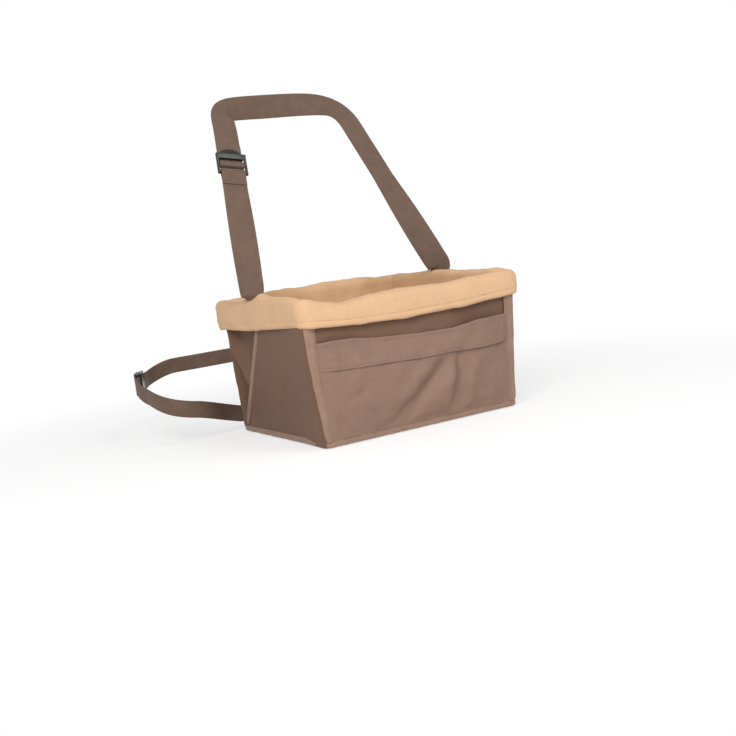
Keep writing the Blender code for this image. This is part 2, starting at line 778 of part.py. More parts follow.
def belt_front(side):
    root, forward, flank, _, _, _ = belt_route(side)
    outward = Vector((side, 0, 0))
    reach = (forward - root).length
    sewn = root + outward * WEB
    first = [root]
    first += interpolate_bezier(sewn, sewn + outward * reach / 3, forward - outward * reach / 3,
                                forward, BELT_STATIONS)
    reach = (flank - forward).length
    rearward = Vector((0, 1, 0))
    second = interpolate_bezier(forward, forward + outward * reach / 2,
                                flank - rearward * reach / 2, flank, BELT_STATIONS)
    return first + second[1:]


def sewn_loop(bar_start, bar_end, bar_half):
    # Webbing passed behind a flat bar, round it, and sewn back onto itself in front.
    wrap = WEB / 2 + GAP
    off = bar_half + wrap
    path = [(bar_start - BELT_HEM, -PLY_HALF), (bar_start - BELT_SEAM, -PLY_HALF), (bar_start, -off)]
    path += arc((bar_end, -bar_half), wrap, -90, 0, BEND_STEPS // 2)
    path += arc((bar_end, bar_half), wrap, 0, 90, BEND_STEPS // 2)
    path += [(bar_start, off), (bar_start - BELT_SEAM, PLY_HALF)]
    path += [(bar_start - BELT_HEM + WEB, PLY_HALF)]
    return path


def build_belt(bag, buckle):
    slide = buckle.col[0].to_3d()
    out = buckle.col[1].to_3d()
    mouth = buckle.translation

    def on_buckle(path):
        return [mouth + slide * along + out * off for along, off in path]

    flank = belt_route(-1)[2]
    loop = on_buckle(sewn_loop(YOKE_START, YOKE_START + YOKE_BAR, YOKE_THICK / 2))
    reach = (loop[0] - flank).length
    run = interpolate_bezier(flank, flank + Vector((0, reach / 3, 0)), loop[0] - slide * reach / 3,
                             loop[0], BELT_STATIONS)
    points = belt_front(-1) + run[1:] + loop[1:]
    ribbon("waist_strap_left", upright(points), BELT_WEB, WEB_FINISH, bag)

    _, _, flank, rear, corner, middle = belt_route(1)
    turn = Vector((rear.x, corner.y, rear.z))
    around = interpolate_bezier(rear, rear.lerp(turn, CORNER_HANDLE_SHARE),
                                corner.lerp(turn, CORNER_HANDLE_SHARE), corner, BELT_STATIONS)
    tail_end = Vector((-TAIL_END_HALF, BELT_REAR_SETBACK, BELT_REAR_RISE))
    level = Vector((WEB, 0, 0))
    points = belt_front(1) + around + [middle, tail_end + level, tail_end]
    ribbon("waist_strap_right", upright(points), BELT_WEB, WEB_FINISH, bag)

    start = tail_end - Vector((GAP, 0, 0))
    lead = on_buckle([(PLUG_END + BELT_TAIL + WEB, PLUG_LOAD)])[0]
    reach = (start - lead).length
    run = [start]
    run += interpolate_bezier(start - level, start - Vector((reach / 3, 0, 0)),
                              lead + slide * reach / 3, lead, BELT_STATIONS)
    thread = threaded_path(PLUG_GRIP_START, PLUG_GRIP_END, YOKE_THICK / 2, PLUG_LOAD, PLUG_TAIL,
                           PLUG_END + BELT_TAIL)
    ribbon("waist_strap_tail", upright(run + on_buckle(thread)), BELT_WEB, WEB_FINISH, bag)


def buckle_frame():
    # x along the slide out of the socket, z up the webbing's width, origin at the mouth.
    frame = Matrix.Rotation(BUCKLE_TURN, 4, "Z")
    flank = belt_route(-1)[2]
    rear = belt_route(-1)[3]
    rise = flank.lerp(rear, (BUCKLE_SETBACK - flank.y) / (rear.y - flank.y)).z
    start = Vector((BUCKLE_INSET - BELT_HALF, BUCKLE_SETBACK, rise))
    frame.translation = start + frame.col[0].to_3d() * SOCKET_LENGTH
    return frame


def build_socket(mouth):
    high = SOCKET_HEIGHT / 2
    thick = SOCKET_THICK / 2
    cavity_thick = thick - SOCKET_WALL
    web_half = BELT_WEB / 2 + SLIT_EASE
    slot_start = YOKE_START + YOKE_BAR
    body_start = slot_start + YOKE_SLOT
    body = box("buckle_socket", (body_start, -thick, -high), (0, thick, high), PLASTIC_FINISH, mouth,
               BUCKLE_EDGE)
    yoke = box("socket_yoke", (YOKE_START, -YOKE_THICK / 2, -PLUG_HEIGHT / 2),
               (body_start + SOCKET_END_WALL / 2, YOKE_THICK / 2, PLUG_HEIGHT / 2), None, mouth,
               YOKE_EDGE)
    slot = box("socket_slot", (slot_start, -thick, -web_half), (body_start, thick, web_half), None,
               mouth)
    cavity = box("socket_cavity", (CAVITY_START, -cavity_thick, -high + SOCKET_WALL),
                 (CUT_OVERRUN, cavity_thick, high - SOCKET_WALL), None, mouth)
    windows = box("socket_windows", (-WINDOW_START - WINDOW_LENGTH, -cavity_thick, -high - CUT_OVERRUN),
                  (-WINDOW_START, cavity_thick, high + CUT_OVERRUN), None, mouth)
    join(body, yoke)
    for cutter in (slot, cavity, windows):
        cut(body, cutter)


def build_plug(pivot):
    high = PLUG_HEIGHT / 2
    thick = PLUG_THICK / 2
    web_half = BELT_WEB / 2 + SLIT_EASE
    body = box("buckle_plug", (GAP, -thick, -high), (PLUG_NECK, thick, high), PLASTIC_FINISH, pivot,
               BUCKLE_EDGE)
    adjuster = box("plug_adjuster", (PLUG_NECK / 2, -YOKE_THICK / 2, -high),
                   (PLUG_END, YOKE_THICK / 2, high), None, pivot, YOKE_EDGE)
    join(body, adjuster)
    prong = box("plug_prong", (CAVITY_START + PRONG_TIP_EASE, -PRONG_THICK / 2, -PRONG_HALF),
                (PLUG_NECK / 2, PRONG_THICK / 2, PRONG_HALF), None, pivot)
    join(body, prong)
    for start, word in ((PLUG_NECK, "near"), (PLUG_GRIP_END, "far")):
        slot = box("plug_slot_" + word, (start, -thick, -web_half),
                   (start + PLUG_SLOT, thick, web_half), None, pivot)
        cut(body, slot)


def arm_outline():
    # Along the slide and outwards from the buckle's middle line.
    lug_reach = SOCKET_HEIGHT / 2 - LUG_RECESS
    shoulder = -WINDOW_START - LUG_EASE
    tip = -WINDOW_START - WINDOW_LENGTH + LUG_EASE
    inner = ARM_ROOT_RISE
    outer = ARM_ROOT_RISE + ARM_WIDTH
    return [
        (0, inner), (0, outer), (shoulder, outer), (shoulder, lug_reach),
        (shoulder - LUG_LAND, lug_reach), (tip, outer), (tip, inner),
    ]


def build_arm(name, side, plug):
    # A springy arm moulded on the plug. It bends at its root when its lug is squeezed.
    root = Matrix.Translation((0, 0, side * (ARM_ROOT_RISE + ARM_WIDTH / 2)))
    pivot = add_empty(name + "_axis", root, plug)
    sections = []
    for off in (-ARM_THICK / 2, ARM_THICK / 2):
        section = []
        for x, z in arm_outline():
            section.append(Vector((x, off, side * (z - ARM_ROOT_RISE - ARM_WIDTH / 2))))
        sections.append(section)
    sweep(name, sections, PLASTIC_FINISH, pivot)


def build_ring(bag):
    # A steel D-ring hangs from a webbing tab that is sewn to the inside of the back wall.
    radius = RING_WIRE / 2 + GAP + WEB / 2
    back_y = -(LINER_INSET + FLEECE) - GAP - WEB / 2
    hang = Vector((0, back_y - radius, RING_HEIGHT))
    pivot = add_empty("tether_ring_axis", Matrix.Translation(hang), bag)
    curve = bpy.data.curves.new("tether_ring", "CURVE")
    curve.dimensions = "3D"
    curve.bevel_depth = RING_WIRE / 2
    curve.bevel_resolution = RING_SIDES // 4
    half = RING_WIDTH / 2 - RING_WIRE / 2
    depth = RING_DROP - RING_WIRE - RING_WIRE
    points = [Vector((-half + RING_WIRE, 0, 0)), Vector((half - RING_WIRE, 0, 0))]
    for along, off in arc((0, 0), 1, 0, 180, RING_ARC_STEPS):
        points.append(Vector((half * along, 0, -RING_WIRE - depth * off)))
    spline = curve.splines.new("POLY")
    spline.points.add(len(points) - 1)
    for target, point in zip(spline.points, points):
        target.co = (*point, 1)
    spline.use_cyclic_u = True
    ring = bpy.data.objects.new("tether_ring", curve)
    ring.parent = pivot
    bpy.data.collections[PARTS].objects.link(ring)
    curve.materials.append(material("tether_ring", *STEEL_FINISH))
    path = [(radius, TAB_LENGTH)] + arc((0, 0), radius, 0, -180, BEND_STEPS) + [(-radius, TAB_LENGTH)]
    stations = [(hang + Vector((0, y, z)), Vector((1, 0, 0))) for y, z in path]
    ribbon("ring_tab", stations, TAB_WEB, WEB_FINISH, bag)


def main():
    clear_scene()
    collection(PARTS)
    collection(CUTTERS)
    loop_front = LOOP_SETBACK - WEB / 2
    bag = add_empty("bag", Matrix.Translation((0, -loop_front, -(HEIGHT + LOOP_RISE))), None)
    build_shell(bag)
    build_boards(bag)
    build_welts(bag)
    build_pocket(bag)
    build_liner(bag)
    build_cuffs(bag)
    frame = lock_frame()
    build_shoulder_strap(bag, frame)
    lock_pivot = add_empty("ladder_lock_axis", frame, bag)
    build_lock(lock_pivot)
    build_bight(lock_pivot)
    build_headrest_strap(bag, frame)
    buckle = buckle_frame()
    build_belt(bag, buckle)
    mouth = add_empty("buckle_mouth", buckle, bag)
    build_socket(mouth)
    plug = add_empty("buckle_plug_slide", Matrix.Identity(4), mouth)
    build_plug(plug)
    build_arm("latch_arm_upper", 1, plug)
    build_arm("latch_arm_lower", -1, plug)
    build_ring(bag)


main()
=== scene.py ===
from math import cos, pi, radians, sin

import bpy
import numpy as np
from mathutils import Matrix, Vector, noise
from mathutils.geometry import interpolate_bezier


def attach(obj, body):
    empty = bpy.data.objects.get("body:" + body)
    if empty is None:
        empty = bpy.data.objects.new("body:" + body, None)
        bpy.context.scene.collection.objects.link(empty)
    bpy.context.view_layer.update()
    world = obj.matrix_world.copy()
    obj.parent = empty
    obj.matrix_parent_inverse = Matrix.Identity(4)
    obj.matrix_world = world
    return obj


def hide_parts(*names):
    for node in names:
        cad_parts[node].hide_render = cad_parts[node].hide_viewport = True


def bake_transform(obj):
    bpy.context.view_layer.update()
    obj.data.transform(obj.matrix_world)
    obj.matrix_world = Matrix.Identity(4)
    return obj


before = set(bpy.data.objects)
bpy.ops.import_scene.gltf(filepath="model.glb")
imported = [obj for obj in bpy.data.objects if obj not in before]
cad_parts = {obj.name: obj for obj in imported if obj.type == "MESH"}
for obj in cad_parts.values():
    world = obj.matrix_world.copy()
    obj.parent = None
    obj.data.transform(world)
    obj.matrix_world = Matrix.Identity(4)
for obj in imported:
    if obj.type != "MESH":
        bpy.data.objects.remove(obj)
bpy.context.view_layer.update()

# Studio: a camera at the basket's front left, a pale floor that turns white away from the
# basket, one broad soft lamp high at the front right and a weak one at the left.
VIEW_RIGHT = Vector((0.8607, -0.4911, -0.1343))
VIEW_UP = Vector((0.1715, 0.0314, 0.9847))
VIEW_FROM = (-0.7937, -1.6704, -0.2395)
FOCAL_SHARE = 1113 / 736
SENSOR = 36
BASKET_MIDDLE = Vector((0, -0.22, -0.38))
WHITE = (1, 1, 1, 1)
SKY = 0.50
FLOOR_SIZE = 14
FLOOR_BELOW = -0.5012
FLOOR_PALE = (0.95, 0.95, 0.95, 1)
FLOOR_ROUGH = 0.9
WHITE_FROM = 0.40
WHITE_AT = 1.00
WHITE_NEAR = 0.6

camera = bpy.data.objects.new("camera", bpy.data.cameras.new("camera"))
camera.data.sensor_width = SENSOR
camera.data.lens = SENSOR * FOCAL_SHARE
VIEW_UP = (VIEW_UP - VIEW_RIGHT * VIEW_UP.dot(VIEW_RIGHT)).normalized()
looking = Matrix((VIEW_RIGHT, VIEW_UP, VIEW_RIGHT.cross(VIEW_UP))).transposed().to_4x4()
camera.matrix_world = Matrix.Translation(VIEW_FROM) @ looking
bpy.context.scene.collection.objects.link(camera)
bpy.context.scene.camera = camera
bpy.context.scene.view_settings.view_transform = "Standard"


def lamp(name, place, size, watts):
    light = bpy.data.lights.new(name, "AREA")
    light.size = size
    light.energy = watts
    item = bpy.data.objects.new(name, light)
    aim = (BASKET_MIDDLE - Vector(place)).to_track_quat("-Z", "Y")
    item.matrix_world = Matrix.Translation(place) @ aim.to_matrix().to_4x4()
    bpy.context.scene.collection.objects.link(item)


lamp("key_lamp", place=(0.65, -2.0, 1.6), size=1.2, watts=25)
lamp("left_lamp", place=(-1.15, -1.5, 0.6), size=0.8, watts=20)


def node(tree, kind, inputs=None, **settings):
    # One shader node: plain values go on its sockets, and sockets of other nodes are linked.
    made = tree.nodes.new("ShaderNode" + kind)
    for name, value in settings.items():
        setattr(made, name, value)
    for name, value in (inputs or {}).items():
        if isinstance(value, bpy.types.NodeSocket):
            tree.links.new(value, made.inputs[name])
        else:
            made.inputs[name].default_value = value
    return made


def seen_directly(tree):
    # 1 for rays from the camera, a mirror or glass, and 0 for the light that falls on things.
    path = node(tree, "LightPath").outputs
    direct = path["Is Camera Ray"]
    for kind in ("Is Glossy Ray", "Is Transmission Ray"):
        direct = node(tree, "Math", {0: direct, 1: path[kind]}, operation="MAXIMUM").outputs[0]
    return direct


world = bpy.data.worlds.new("studio")
bpy.context.scene.world = world
world.use_nodes = True
sky = world.node_tree
sky.nodes.clear()
sky_light = node(sky, "Background", {"Color": WHITE, "Strength": SKY})
sky_white = node(sky, "Background", {"Color": WHITE, "Strength": 1})
sky_mix = node(sky, "MixShader", {0: seen_directly(sky), 1: sky_light.outputs[0], 2: sky_white.outputs[0]})
node(sky, "OutputWorld", {"Surface": sky_mix.outputs[0]})

bpy.ops.object.select_all(action="DESELECT")
bpy.ops.mesh.primitive_plane_add(size=FLOOR_SIZE, location=(0, 0, FLOOR_BELOW))
floor = bpy.context.object
floor.name = "floor"
floor_finish = bpy.data.materials.new("pale_floor")
floor_finish.use_nodes = True
ground = floor_finish.node_tree
ground.nodes.clear()
ground_place = node(ground, "TexCoord")
ground_away = node(ground, "VectorMath", {0: ground_place.outputs["Object"], 1: (0, BASKET_MIDDLE.y, 0)},
                   operation="DISTANCE")
ground_far = node(ground, "MapRange", {"Value": ground_away.outputs["Value"], "From Min": WHITE_FROM,
                                       "From Max": WHITE_AT, "To Min": WHITE_NEAR},
                  interpolation_type="SMOOTHSTEP")
ground_white = node(ground, "Math", {0: ground_far.outputs[0], 1: seen_directly(ground)},
                    operation="MULTIPLY")
ground_near = node(ground, "BsdfPrincipled", {"Base Color": FLOOR_PALE, "Roughness": FLOOR_ROUGH,
                                              "Specular IOR Level": 0})
ground_glow = node(ground, "Emission", {"Color": WHITE, "Strength": 1})
ground_mix = node(ground, "MixShader", {0: ground_white.outputs[0], 1: ground_near.outputs[0],
                                        2: ground_glow.outputs[0]})
node(ground, "OutputMaterial", {"Surface": ground_mix.outputs[0]})
floor.data.materials.append(floor_finish)


# Outer fabric: a woven polyester tub, cut from a front, two sides, a back and two soft rear
# gussets, and sewn into one shell. Stiffeners keep the walls straight up to the soft rim, and
# the gussets fold inwards behind the sloping side seams.
BASKET_AT = np.array((0, -0.0743, -0.5))
WIDTH = 0.325
DEPTH = 0.299
HEIGHT = 0.198
BOTTOM_TAPER = 0.0085
BACK_NARROWING = 0.0078
FABRIC = 0.0014
SEAM_FOOT = -0.0154
SEAM_TOP = -0.1615
SHELL_CORNER = 0.008
CORNER_PULL = 0.6
WALL_CELLS = (60, 112, 120, 112, 60)
WALL_ROWS = 80
CORNER_CELLS = 8
WELD = 0.000002
NO_LENGTH = 1e-12
SMOOTH_BELOW = radians(50)
THREAD_APART = 0.0007
WAVE_SCALE = pi / 10
# The walls' cloth is the same cloth as TAUPE, darker and browner: painted shade for the shaded side walls.
WALL_TAUPE_IN_PAINTED_SHADE = (0.160, 0.088, 0.056)
FLARE_RISE = (0.003, 0.036, 0.070, 0.094, 0.127, 0.160, 0.172, 0.186)
FLARE_LEFT = (0.0035, 0.0040, 0.0060, 0.0070, 0.0076, 0.0070, 0.0045, 0.0020)
FLARE_RIGHT = (0, 0, 0.0025, 0.0045, 0.0070, 0.0095, 0.0095, 0.0095)
FLARE_BACK = 0.190
FLARE_INNER = (0.110, 0.045)


def half_width(y, z):
    return WIDTH / 2 - BOTTOM_TAPER * (1 - z / HEIGHT) - BACK_NARROWING * (1 + y / DEPTH)


def smooth(value):
    share = np.clip(value, 0, 1)
    return share * share * (3 - 2 * share)


def eased(value, start, over):
    # A smooth change from 0 to 1. Pairs passed here say where it starts and how far it goes.
    return smooth((value - start) / over)


def flare(x, z):
    # How far the front corners spread sideways, more towards the rim.
    return np.where(x < 0, np.interp(z, FLARE_RISE, FLARE_LEFT), np.interp(z, FLARE_RISE, FLARE_RIGHT))


def near_front(x, y):
    return eased(-y, FLARE_BACK, DEPTH - FLARE_BACK) * eased(np.abs(x), *FLARE_INNER)


def outline(z, out, corner):
    # Points round the tub at one height, anticlockwise from the middle of the back wall.
    ends = ((-1, out), (-1, -DEPTH - out), (1, -DEPTH - out), (1, out))
    corners = [Vector((side * (half_width(y, z) + out), y)) for side, y in ends]
    middle = Vector((0, out))
    points = [middle]
    for k, here in enumerate(corners):
        before = corners[k - 1] if k else middle
        after = corners[k + 1] if k < 3 else middle
        enter = here + (before - here).normalized() * corner
        leave = here + (after - here).normalized() * corner
        start = points[-1]
        points += [start.lerp(enter, (j + 1) / WALL_CELLS[k]) for j in range(WALL_CELLS[k])]
        turn = interpolate_bezier(enter.to_3d(), enter.lerp(here, CORNER_PULL).to_3d(),
                                  leave.lerp(here, CORNER_PULL).to_3d(), leave.to_3d(), CORNER_CELLS + 1)
        points += [p.to_2d() for p in turn[1:]]
    start = points[-1]
    points += [start.lerp(middle, (j + 1) / WALL_CELLS[4]) for j in range(WALL_CELLS[4])]
    return np.array(points)


def outward(rows, ring=False):
    # The unit normals of rows that run to the right and stack upwards, as seen from outside.
    across = np.gradient(rows, axis=1)
    if ring:
        inner = rows[:, :-1]
        across = np.roll(inner, -1, 1) - np.roll(inner, 1, 1)
        across = np.concatenate((across, across[:, :1]), 1)
    normal = np.cross(across, np.gradient(rows, axis=0))
    return normal / np.maximum(np.linalg.norm(normal, axis=2, keepdims=True), NO_LENGTH)


def crumple(rows, *waves):
    # Smooth waves of the cloth, each a depth, a size and a seed, added up at each point.
    flat = rows.reshape(-1, 3)
    total = np.zeros(len(flat))
    for depth, size, seed in waves:
        total += depth * np.array([noise.noise(Vector(p)) for p in flat / size + seed])
    return total.reshape(rows.shape[:2])


def moved(rows, amount, ring=False):
    return rows + outward(rows, ring) * amount[:, :, None]


def select_only(piece):
    bpy.ops.object.select_all(action="DESELECT")
    piece.select_set(True)
    bpy.context.view_layer.objects.active = piece


def worked(piece, kind, **settings):
    # Works a piece over with one modifier, applied at once.
    select_only(piece)
    step = piece.modifiers.new(kind.lower(), kind)
    for name, value in settings.items():
        setattr(step, name, value)
    bpy.ops.object.modifier_apply(modifier=step.name)


def faces_out(piece, weld=0):
    # Merges doubled points where a weld distance is given, and turns all faces outwards.
    select_only(piece)
    bpy.ops.object.mode_set(mode="EDIT")
    bpy.ops.mesh.select_all(action="SELECT")
    if weld:
        bpy.ops.mesh.remove_doubles(threshold=weld)
    bpy.ops.mesh.normals_make_consistent(inside=False)
    bpy.ops.object.mode_set(mode="OBJECT")


def cloth(name, rows, thick=0, ring=False):
    # A grid laid out to the rows' points, with its texture map in metres along the cloth. A
    # ring closes on itself, and rows drawn together at a point close its ends.
    high, wide = rows.shape[0] - 1, rows.shape[1] - 1
    if ring:
        rows[:, -1] = rows[:, 0]
    bpy.ops.object.select_all(action="DESELECT")
    bpy.ops.mesh.primitive_grid_add(x_subdivisions=wide, y_subdivisions=high, size=1)
    piece = bpy.context.object
    piece.name = name
    mesh = piece.data
    mesh.name = name
    flat = np.empty(len(mesh.vertices) * 3)
    mesh.vertices.foreach_get("co", flat)
    across = np.rint((flat[0::3] + 0.5) * wide).astype(int)
    up = np.rint((flat[1::3] + 0.5) * high).astype(int)
    mesh.vertices.foreach_set("co", (rows[up, across] + BASKET_AT).ravel())
    width = np.linalg.norm(np.diff(rows, axis=1), axis=2).sum(1).max()
    length = np.linalg.norm(np.diff(rows, axis=0), axis=2).sum(0).max()
    layer = mesh.uv_layers.active
    grid = np.empty(len(layer.uv) * 2)
    layer.uv.foreach_get("vector", grid)
    grid[0::2] *= width
    grid[1::2] *= length
    layer.uv.foreach_set("vector", grid)
    mesh.update()
    if ring:
        faces_out(piece, WELD)
    if thick:
        worked(piece, "SOLIDIFY", thickness=thick, offset=-1)
    select_only(piece)
    bpy.ops.object.shade_smooth_by_angle(angle=SMOOTH_BELOW)
    return piece


def dress(piece, finish, slot, body, *nodes):
    # Gives a finished piece its material, the body that carries it and the solids it stands for.
    piece.data.materials.clear()
    piece.data.materials.append(finish)
    if body:
        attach(piece, body)
    if nodes:
        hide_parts(*nodes)
    return piece


def new_finish(name):
    # An empty material, with the piece's own coordinates and texture map to build on.
    finish = bpy.data.materials.new(name)
    finish.use_nodes = True
    tree = finish.node_tree
    tree.nodes.clear()
    return finish, tree, node(tree, "TexCoord").outputs


def cloudy(tree, place, scale, detail, rough=0.5):
    # Soft noise over the piece.
    return node(tree, "TexNoise", {"Vector": place, "Scale": scale, "Detail": detail,
                                   "Roughness": rough}).outputs["Fac"]


def yarns(tree, place, apart, direction, wobble, fine=1):
    # Parallel yarns across a texture map in metres.
    waves = node(tree, "TexWave", {"Vector": place, "Scale": WAVE_SCALE / apart, "Distortion": wobble,
                                   "Detail": 1, "Detail Scale": fine}, bands_direction=direction)
    return waves.outputs["Fac"]


def ramp(tree, amount, dark, pale, given=(0, 1)):
    # From a dark to a pale colour over a value's given range.
    shade = node(tree, "ValToRGB", {"Fac": amount})
    low, high = shade.color_ramp.elements
    low.position, high.position = given
    low.color = (*dark, 1)
    high.color = (*pale, 1)
    return shade.outputs["Color"]


def span(tree, value, given, wanted):
    # Turns a value's given range into the wanted one.
    return node(tree, "MapRange", {"Value": value, "From Min": given[0], "From Max": given[1],
                                   "To Min": wanted[0], "To Max": wanted[1]}).outputs[0]


def mixed(tree, kind, operation, *values):
    # Values or colours put together by one sum.
    return node(tree, kind, dict(enumerate(values)), operation=operation).outputs[0]


def relief(tree, height, strength, depth, under=None):
    # Fine relief, on top of another one where that is given.
    bump = {"Height": height, "Strength": strength, "Distance": depth}
    if under is not None:
        bump["Normal"] = under
    return node(tree, "Bump", bump).outputs[0]


def surface(tree, inputs):
    # The shader of a finish, and its output.
    shader = node(tree, "BsdfPrincipled", inputs)
    node(tree, "OutputMaterial", {"Surface": shader.outputs[0]})


def shaded(colour, share):
    return [c * share for c in colour]


def woven(name, colour, light, sheen, rough):
    # Plain weave: two sets of threads over the cloth's own map, a soft mottle, and paler yarn
    # where the cloth is rubbed.
    finish, tree, place = new_finish(name)
    warp = yarns(tree, place["UV"], apart=THREAD_APART, direction="X", wobble=0.6, fine=0.4)
    weft = yarns(tree, place["UV"], apart=THREAD_APART, direction="Y", wobble=0.6, fine=0.4)
    threads = mixed(tree, "Math", "ADD", warp, weft)
    mottle = cloudy(tree, place["Object"], scale=42, detail=6, rough=0.62)
    slub = cloudy(tree, place["Object"], scale=900, detail=3)
    shade = ramp(tree, mottle, shaded(colour, 1 - light), shaded(colour, 1 + light), (0.25, 0.75))
    yarn = span(tree, threads, (0, 2), (0.80, 1.18))
    fleck = span(tree, slub, (0.2, 0.8), (0.88, 1.12))
    rubbed = mixed(tree, "Math", "MULTIPLY", yarn, fleck)
    weave = relief(tree, threads, strength=0.25, depth=THREAD_APART / 4)
    surface(tree, {"Base Color": mixed(tree, "VectorMath", "MULTIPLY", shade, rubbed),
                   "Roughness": span(tree, mottle, (0.2, 0.8), (rough - 0.07, rough + 0.07)),
                   "Normal": relief(tree, mottle, strength=0.25, depth=0.0012, under=weave),
                   "Specular IOR Level": 0.22, "Sheen Weight": sheen, "Sheen Roughness": 0.45})
    return finish


# Behind the side seam the soft gusset is folded inwards, under a diagonal crease.
PLEAT_DEPTH = 0.030
PLEAT_EDGE = 0.16
PLEAT_BACK = (0.0062, 0.012)
PLEAT_FOOT = (0.004, 0.030)
PLEAT_HEAD = (-0.176, 0.022)
PLEAT_CREASE = (-0.012, 0.142)
PLEAT_SLOPE = (-0.745, 0.667)
PLEAT_UNDER = (0.004, 0.020)
VALLEY_DEPTH = 0.0130
VALLEY_BEHIND = 0.012
VALLEY_ABOVE = (-0.004, 0.026)
CREST_HEIGHT = 0.0040
CREST_BELOW = 0.003
CREST_WIDE = 0.007


def pleat(y, z):
    # How far the gusset is folded in at a place on the side.
    seam = SEAM_FOOT + (SEAM_TOP - SEAM_FOOT) * z / HEIGHT
    inside = smooth((y - seam) / -seam / PLEAT_EDGE) * eased(-y, *PLEAT_BACK)
    inside = inside * eased(z, *PLEAT_FOOT) * eased(-z, *PLEAT_HEAD)
    above = PLEAT_SLOPE[0] * (y - PLEAT_CREASE[0]) + PLEAT_SLOPE[1] * (z - PLEAT_CREASE[1])
    valley = VALLEY_DEPTH * smooth((y - seam) / VALLEY_BEHIND) * eased(above, *VALLEY_ABOVE)
    crest = CREST_HEIGHT * np.exp(-((above + CREST_BELOW) / CREST_WIDE) ** 2)
    return inside * (PLEAT_DEPTH * eased(-above, *PLEAT_UNDER) + valley - crest)


# The rim isn't straight: it sags in front and is drawn up under each strap. Each curve is a
# row of places along one wall, and how far the rim rises there.
RIM_TURN = 0.014
RIM_LEFT = ((-0.299, -0.256, -0.190, -0.166, -0.150, -0.136, -0.115, -0.085, -0.037, 0),
            (-0.004, -0.001, 0.001, 0.006, 0.004, 0.000, -0.001, -0.004, -0.005, -0.002))
RIM_FRONT = ((-0.160, -0.150, -0.113, -0.072, -0.007, 0.030, 0.089, 0.131, 0.152, 0.160),
             (-0.004, -0.005, -0.012, -0.012, -0.0115, -0.012, -0.012, -0.008, -0.005, -0.005))
RIM_RIGHT = ((-0.299, -0.230, -0.192, -0.160, -0.138, -0.115, -0.080, 0),
             (-0.005, -0.004, -0.003, 0.000, 0.002, 0.000, -0.002, -0.002))
RIM_BACK = ((-0.150, -0.060, 0.060, 0.136, 0.155), (-0.002, 0.002, 0.003, -0.002, -0.003))


def round_the_rim(x, y, left, front, right, back):
    # One value along the rim, from four walls' curves, turned smoothly at the corners.
    on_front = eased(-y, DEPTH - RIM_TURN, RIM_TURN)
    on_back = eased(y, -RIM_TURN, RIM_TURN)
    on_side = np.clip(1 - on_front - on_back, 0, 1)
    sides = np.where(x < 0, np.interp(y, *left), np.interp(y, *right))
    return on_side * sides + on_front * np.interp(x, *front) + on_back * np.interp(x, *back)


def rim_rise(x, y):
    return round_the_rim(x, y, RIM_LEFT, RIM_FRONT, RIM_RIGHT, RIM_BACK)


SHELL_BELOW_RIM = 0.001
SHELL_PROUD = 0.0009
SHELL_CRUMPLE = ((0.0011, 0.032, 3), (0.0004, 0.011, 8))
SIDE_BULGE = 0.0016
SIDE_BULGE_FROM = (0, 0.1)
FACES_SIDEWAYS = 0.7
FOOT_HELD = 0.012
foot_line = outline(0, 0, SHELL_CORNER)
top_line = outline(HEIGHT, 0, SHELL_CORNER)
share = np.linspace(0, 1, WALL_ROWS + 1)[:, None, None]
level = foot_line[None] * (1 - share) + top_line[None] * share
rise = HEIGHT - SHELL_BELOW_RIM + np.minimum(rim_rise(top_line[:, 0], top_line[:, 1]), 0)
shell_rows = np.concatenate((level, share * rise[None, :, None]), 2)
x, y, z = shell_rows[:, :, 0], shell_rows[:, :, 1], shell_rows[:, :, 2]
shell_rows[:, :, 0] += np.sign(x) * flare(x, z) * near_front(x, y)
on_side = np.abs(outward(shell_rows, True)[:, :, 0]) > FACES_SIDEWAYS
swell = SIDE_BULGE * eased(-y, *SIDE_BULGE_FROM) * np.sin(z / HEIGHT * pi)
bulge = np.where(on_side, swell - pleat(y, z), 0)
bulge += crumple(shell_rows, *SHELL_CRUMPLE) + SHELL_PROUD
bulge *= smooth(z / FOOT_HELD)
# The shell takes the darkened copy of the cloth, with its painted shade.
wall_cloth_painted_shade = woven("wall_cloth_painted_shade", WALL_TAUPE_IN_PAINTED_SHADE, light=0.08, sheen=0.01, rough=0.60)
dress(cloth("shell_fabric", moved(shell_rows, bulge, True), FABRIC, True), wall_cloth_painted_shade, "shell_fabric",
      "tub", "front_panel", "back_panel", "side_panel_left", "side_panel_right", "rear_gusset_left",
      "rear_gusset_right")

# Bottom: one panel of the same cloth, sewn to the walls round its edge, with the stiff floor
# board lying on it.
BASE_CELLS = 60
BASE_EASE = 0.0015
BASE_LIFT = 0.0002
BASE_FABRIC = 0.0012
BASE_CRUMPLE = (0.00015, 0.03, 5)
base_y = -BASE_EASE - np.linspace(0, 1, BASE_CELLS + 1)[:, None] * (DEPTH - 2 * BASE_EASE)
base_x = np.linspace(-1, 1, BASE_CELLS + 1)[None] * (half_width(base_y, 0) - BASE_EASE)
base_rows = np.stack((base_x, base_y + 0 * base_x, 0 * base_x), 2)
base_rows[:, :, 2] = BASE_LIFT + crumple(base_rows, BASE_CRUMPLE)
# The bottom panel shares the walls' darkened cloth and its painted shade.
dress(cloth("base_fabric", base_rows, BASE_FABRIC), wall_cloth_painted_shade, "shell_fabric", "tub", "base_panel")


